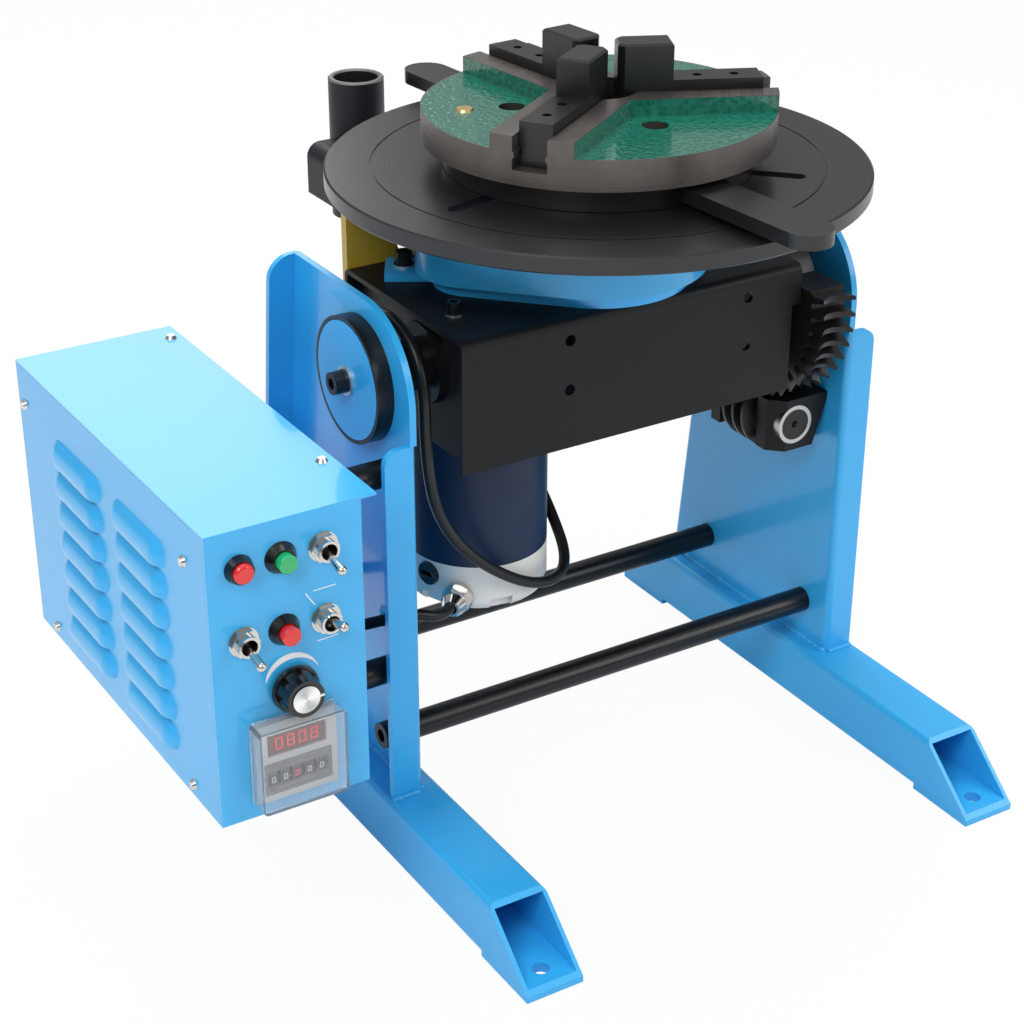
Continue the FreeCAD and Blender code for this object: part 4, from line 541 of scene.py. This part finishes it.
# Timer's window: a dark red filter sunk in the face, with four lit figures behind it.
# Each figure is a set of upright seven-segment bars.
window_low, window_high = (-0.2767, 0.1433), (-0.2433, 0.1557)
filter_front, filter_back = panel_y - 0.0030, panel_y - 0.0026
filter_red = moulded_plastic("display_filter", (0.12, 0.006, 0.008), 0.12, 0.4)
window = bmesh.new()
block(window, (window_low[0], filter_front, window_low[1]),
      (window_high[0], filter_back, window_high[1]))
finished("timer_window", window, filter_red, "base", smooth=False)
lit = Finish("lit_segment", emission_strength=0.45)
glow = lit.noise(300.0)
lit.feed("Base Color", lit.blend(glow, (0.5, 0.02, 0.02, 1), (0.6, 0.03, 0.03, 1)))
lit.feed("Emission Color", lit.blend(glow, (0.62, 0.03, 0.03, 1), (0.78, 0.05, 0.04, 1)))


def figure(mesh, corner, wide, high, pen, segments):
    """Seven-segment figure with its lower left corner at corner, raised towards -Y."""
    half = high / 2
    right = wide - pen
    bars = {"top": (0, high - pen, wide, high),
            "middle": (0, half - pen / 2, wide, half + pen / 2),
            "bottom": (0, 0, wide, pen),
            "upper_left": (0, half, pen, high),
            "lower_left": (0, 0, pen, half),
            "upper_right": (right, half, wide, high),
            "lower_right": (right, 0, wide, half)}
    x, y, z = corner
    for name in segments:
        x0, z0, x1, z1 = bars[name]
        block(mesh, (x + x0, y - 0.0001, z + z0), (x + x1, y + 0.0002, z + z1))


nought = ("top", "bottom", "upper_left", "lower_left", "upper_right", "lower_right")
eight = nought + ("middle",)
figure_pitch = 0.0068
figures = bmesh.new()
for i, segments in enumerate((nought, eight, nought, eight)):
    corner = (window_low[0] + 0.0045 + figure_pitch * i, panel_y - 0.0031, window_low[1] + 0.0026)
    figure(figures, corner, 0.0044, 0.0072, 0.0009, segments)
finished("timer_figures", figures, lit.material, "base", smooth=False)


# Setting wheels: a dark surround on the timer's face, and a nought printed on each
# wheel, white on the others and red on the middle one, which glows as painted light.
surround_grey = moulded_plastic("surround_grey", (0.16, 0.165, 0.17), 0.4)
face_y = timer_low[1]
surround = bmesh.new()
for low, high in (((-0.2795, 0.1200), (-0.2405, 0.1222)), ((-0.2795, 0.1338), (-0.2405, 0.1392)),
                  ((-0.2795, 0.1222), (-0.2778, 0.1338)), ((-0.2422, 0.1222), (-0.2405, 0.1338))):
    block(surround, (low[0], face_y - 0.0003, low[1]), (high[0], face_y + 0.0003, high[1]))
finished("wheel_surround", surround, surround_grey, "base", smooth=False)
nought_wide, nought_high = 0.0022, 0.0034
middle_wheel = 3
for i in range(1, 6):
    wheel_low, wheel_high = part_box(f"thumbwheel_{i}")
    corner = ((wheel_low[0] + wheel_high[0] - nought_wide) / 2, wheel_low[1],
              (wheel_low[2] + wheel_high[2] - nought_high) / 2)
    mark = bmesh.new()
    figure(mark, corner, nought_wide, nought_high, 0.0005, nought)
    # The middle wheel's red nought takes the emissive lit segment finish, so this print glows as
    # painted light.
    colour = lit.material if i == middle_wheel else white_paint
    finished(f"wheel_nought_{i}", mark, colour, f"setting_wheel_{i}", smooth=False)


# Cables: round rubber sheath. One lead runs from the motor's gland to the box, and one
# loops from the box round the plate and the motor.
sheath = Finish("cable_sheath", specular_ior_level=0.38)
wave = sheath.noise(55.0, 3.0)
fine = sheath.noise(900.0, 2.0)
rubber = sheath.blend(wave, (0.0045, 0.0045, 0.005, 1), (0.0085, 0.0085, 0.0095, 1))
sheath.feed("Base Color", rubber)
sheath.feed("Roughness", wave * 0.12 + 0.26)
sheath.bump(fine, 0.1, 0.0002)

motor_route = [(-0.09926, 0.01643, 0.1325), (-0.11765, -0.00196, 0.1325),
               (-0.142, 0.005, 0.142), (-0.228, 0.005, 0.142)]
loop_route = [(-0.228, 0.04, 0.15), (-0.141, 0.04, 0.15), (-0.134, 0.07, 0.178),
              (-0.135, 0.076, 0.24), (-0.135, 0.068, 0.304), (-0.134, 0.027, 0.32),
              (-0.135, -0.012, 0.302), (-0.136, -0.014, 0.24), (-0.122, -0.006, 0.196),
              (-0.092, -0.002, 0.16), (-0.052, -0.001, 0.134), (-0.022, 0.012, 0.134),
              (-0.017, 0.044, 0.16), (-0.02, 0.078, 0.192), (-0.034, 0.09, 0.225),
              (-0.04, 0.094, 0.25)]
cable_radius = 0.0034
for name, node, route, length, start, end in (
        ("motor_lead", "motor_cable", motor_route, 0.132, (-0.145, 0, 0), (-0.114, 0, 0)),
        ("loop_lead", "loop_cable", loop_route, 0.69, (-0.137, 0, 0), (-0.09, 0, 0))):
    line = None
    for bevel in (0.0, cable_radius):
        curve = bpy.data.curves.new(name, "CURVE")
        curve.dimensions = "3D"
        curve.bevel_depth = bevel
        curve.bevel_resolution = 6
        curve.resolution_u = 14
        curve.use_fill_caps = True
        spline = curve.splines.new("NURBS")
        spline.points.add(len(route) - 1)
        for point, place in zip(spline.points, route):
            point.co = (*place, 1)
        spline.order_u = 3
        spline.use_endpoint_u = True
        shaped = bpy.data.objects.new(name + "_line", curve)
        mesh = bpy.data.meshes.new_from_object(shaped)
        if line is None:
            line = [tuple(vertex.co) for vertex in mesh.vertices]
        bpy.data.objects.remove(shaped)
    mesh.materials.clear()
    mesh.materials.append(sheath.material)
    mesh.polygons.foreach_set("use_smooth", [True] * len(mesh.polygons))
    lead = bpy.data.objects.new(name, mesh)
    bpy.context.scene.collection.objects.link(lead)
    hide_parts(node)
    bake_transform(lead)


# Floor and light: a pale sweep, a sky that is brighter overhead than at the horizon,
# and four soft lamps.
def studio_white(name, lift):
    material = bpy.data.materials.new(name)
    material.use_nodes = True
    tree = material.node_tree
    shader = tree.nodes["Principled BSDF"]
    shader.inputs["Base Color"].default_value = (0.88, 0.88, 0.88, 1)
    shader.inputs["Roughness"].default_value = 0.9
    glow = tree.nodes.new("ShaderNodeEmission")
    mix = tree.nodes.new("ShaderNodeMixShader")
    path = tree.nodes.new("ShaderNodeLightPath")
    scale = tree.nodes.new("ShaderNodeMath")
    scale.operation = "MULTIPLY"
    scale.inputs[1].default_value = lift
    tree.links.new(path.outputs["Is Camera Ray"], scale.inputs[0])
    tree.links.new(scale.outputs[0], mix.inputs[0])
    tree.links.new(shader.outputs[0], mix.inputs[1])
    tree.links.new(glow.outputs[0], mix.inputs[2])
    tree.links.new(mix.outputs[0], tree.nodes["Material Output"].inputs["Surface"])
    return material


floor_mesh = bmesh.new()
bmesh.ops.create_grid(floor_mesh, x_segments=1, y_segments=1, size=6)
floor_data = bpy.data.meshes.new("floor")
floor_mesh.to_mesh(floor_data)
floor_mesh.free()
floor = bpy.data.objects.new("floor", floor_data)
bpy.context.scene.collection.objects.link(floor)
floor.location.z = -0.0004
floor_data.materials.append(studio_white("floor_white", 0.95))

world = bpy.data.worlds.new("studio")
bpy.context.scene.world = world
world.use_nodes = True
air = world.node_tree
sky = air.nodes["Background"]
sky.inputs["Color"].default_value = (1, 1, 1, 1)
rays = air.nodes.new("ShaderNodeLightPath")
seen = air.nodes.new("ShaderNodeMath")
seen.operation = "MAXIMUM"
air.links.new(rays.outputs["Is Camera Ray"], seen.inputs[0])
air.links.new(rays.outputs["Is Transmission Ray"], seen.inputs[1])
way = air.nodes.new("ShaderNodeTexCoord")
parts = air.nodes.new("ShaderNodeSeparateXYZ")
air.links.new(way.outputs["Generated"], parts.inputs[0])
level = air.nodes.new("ShaderNodeMapRange")
level.inputs["To Min"].default_value = 0.16
level.inputs["To Max"].default_value = 0.8
air.links.new(parts.outputs["Z"], level.inputs["Value"])
either = air.nodes.new("ShaderNodeMath")
either.operation = "MAXIMUM"
air.links.new(seen.outputs[0], either.inputs[0])
air.links.new(level.outputs["Result"], either.inputs[1])
air.links.new(either.outputs[0], sky.inputs["Strength"])

for name, place, size, power in (("key_lamp", (-1.5, -1.0, 1.9), 1.1, 25),
                                 ("fill_lamp", (1.4, -1.7, 1.3), 1.2, 15),
                                 ("top_lamp", (0.2, 0.7, 2.1), 1.2, 20),
                                 ("sheen_lamp", (0.35, 1.9, 1.2), 0.8, 4)):
    lamp = bpy.data.lights.new(name, "AREA")
    lamp.size = size
    lamp.energy = power
    lamp_object = bpy.data.objects.new(name, lamp)
    bpy.context.scene.collection.objects.link(lamp_object)
    aim = Vector((0, 0.02, 0.25)) - Vector(place)
    lamp_object.matrix_world = (Matrix.Translation(place)
                                @ aim.to_track_quat("-Z", "Y").to_matrix().to_4x4())
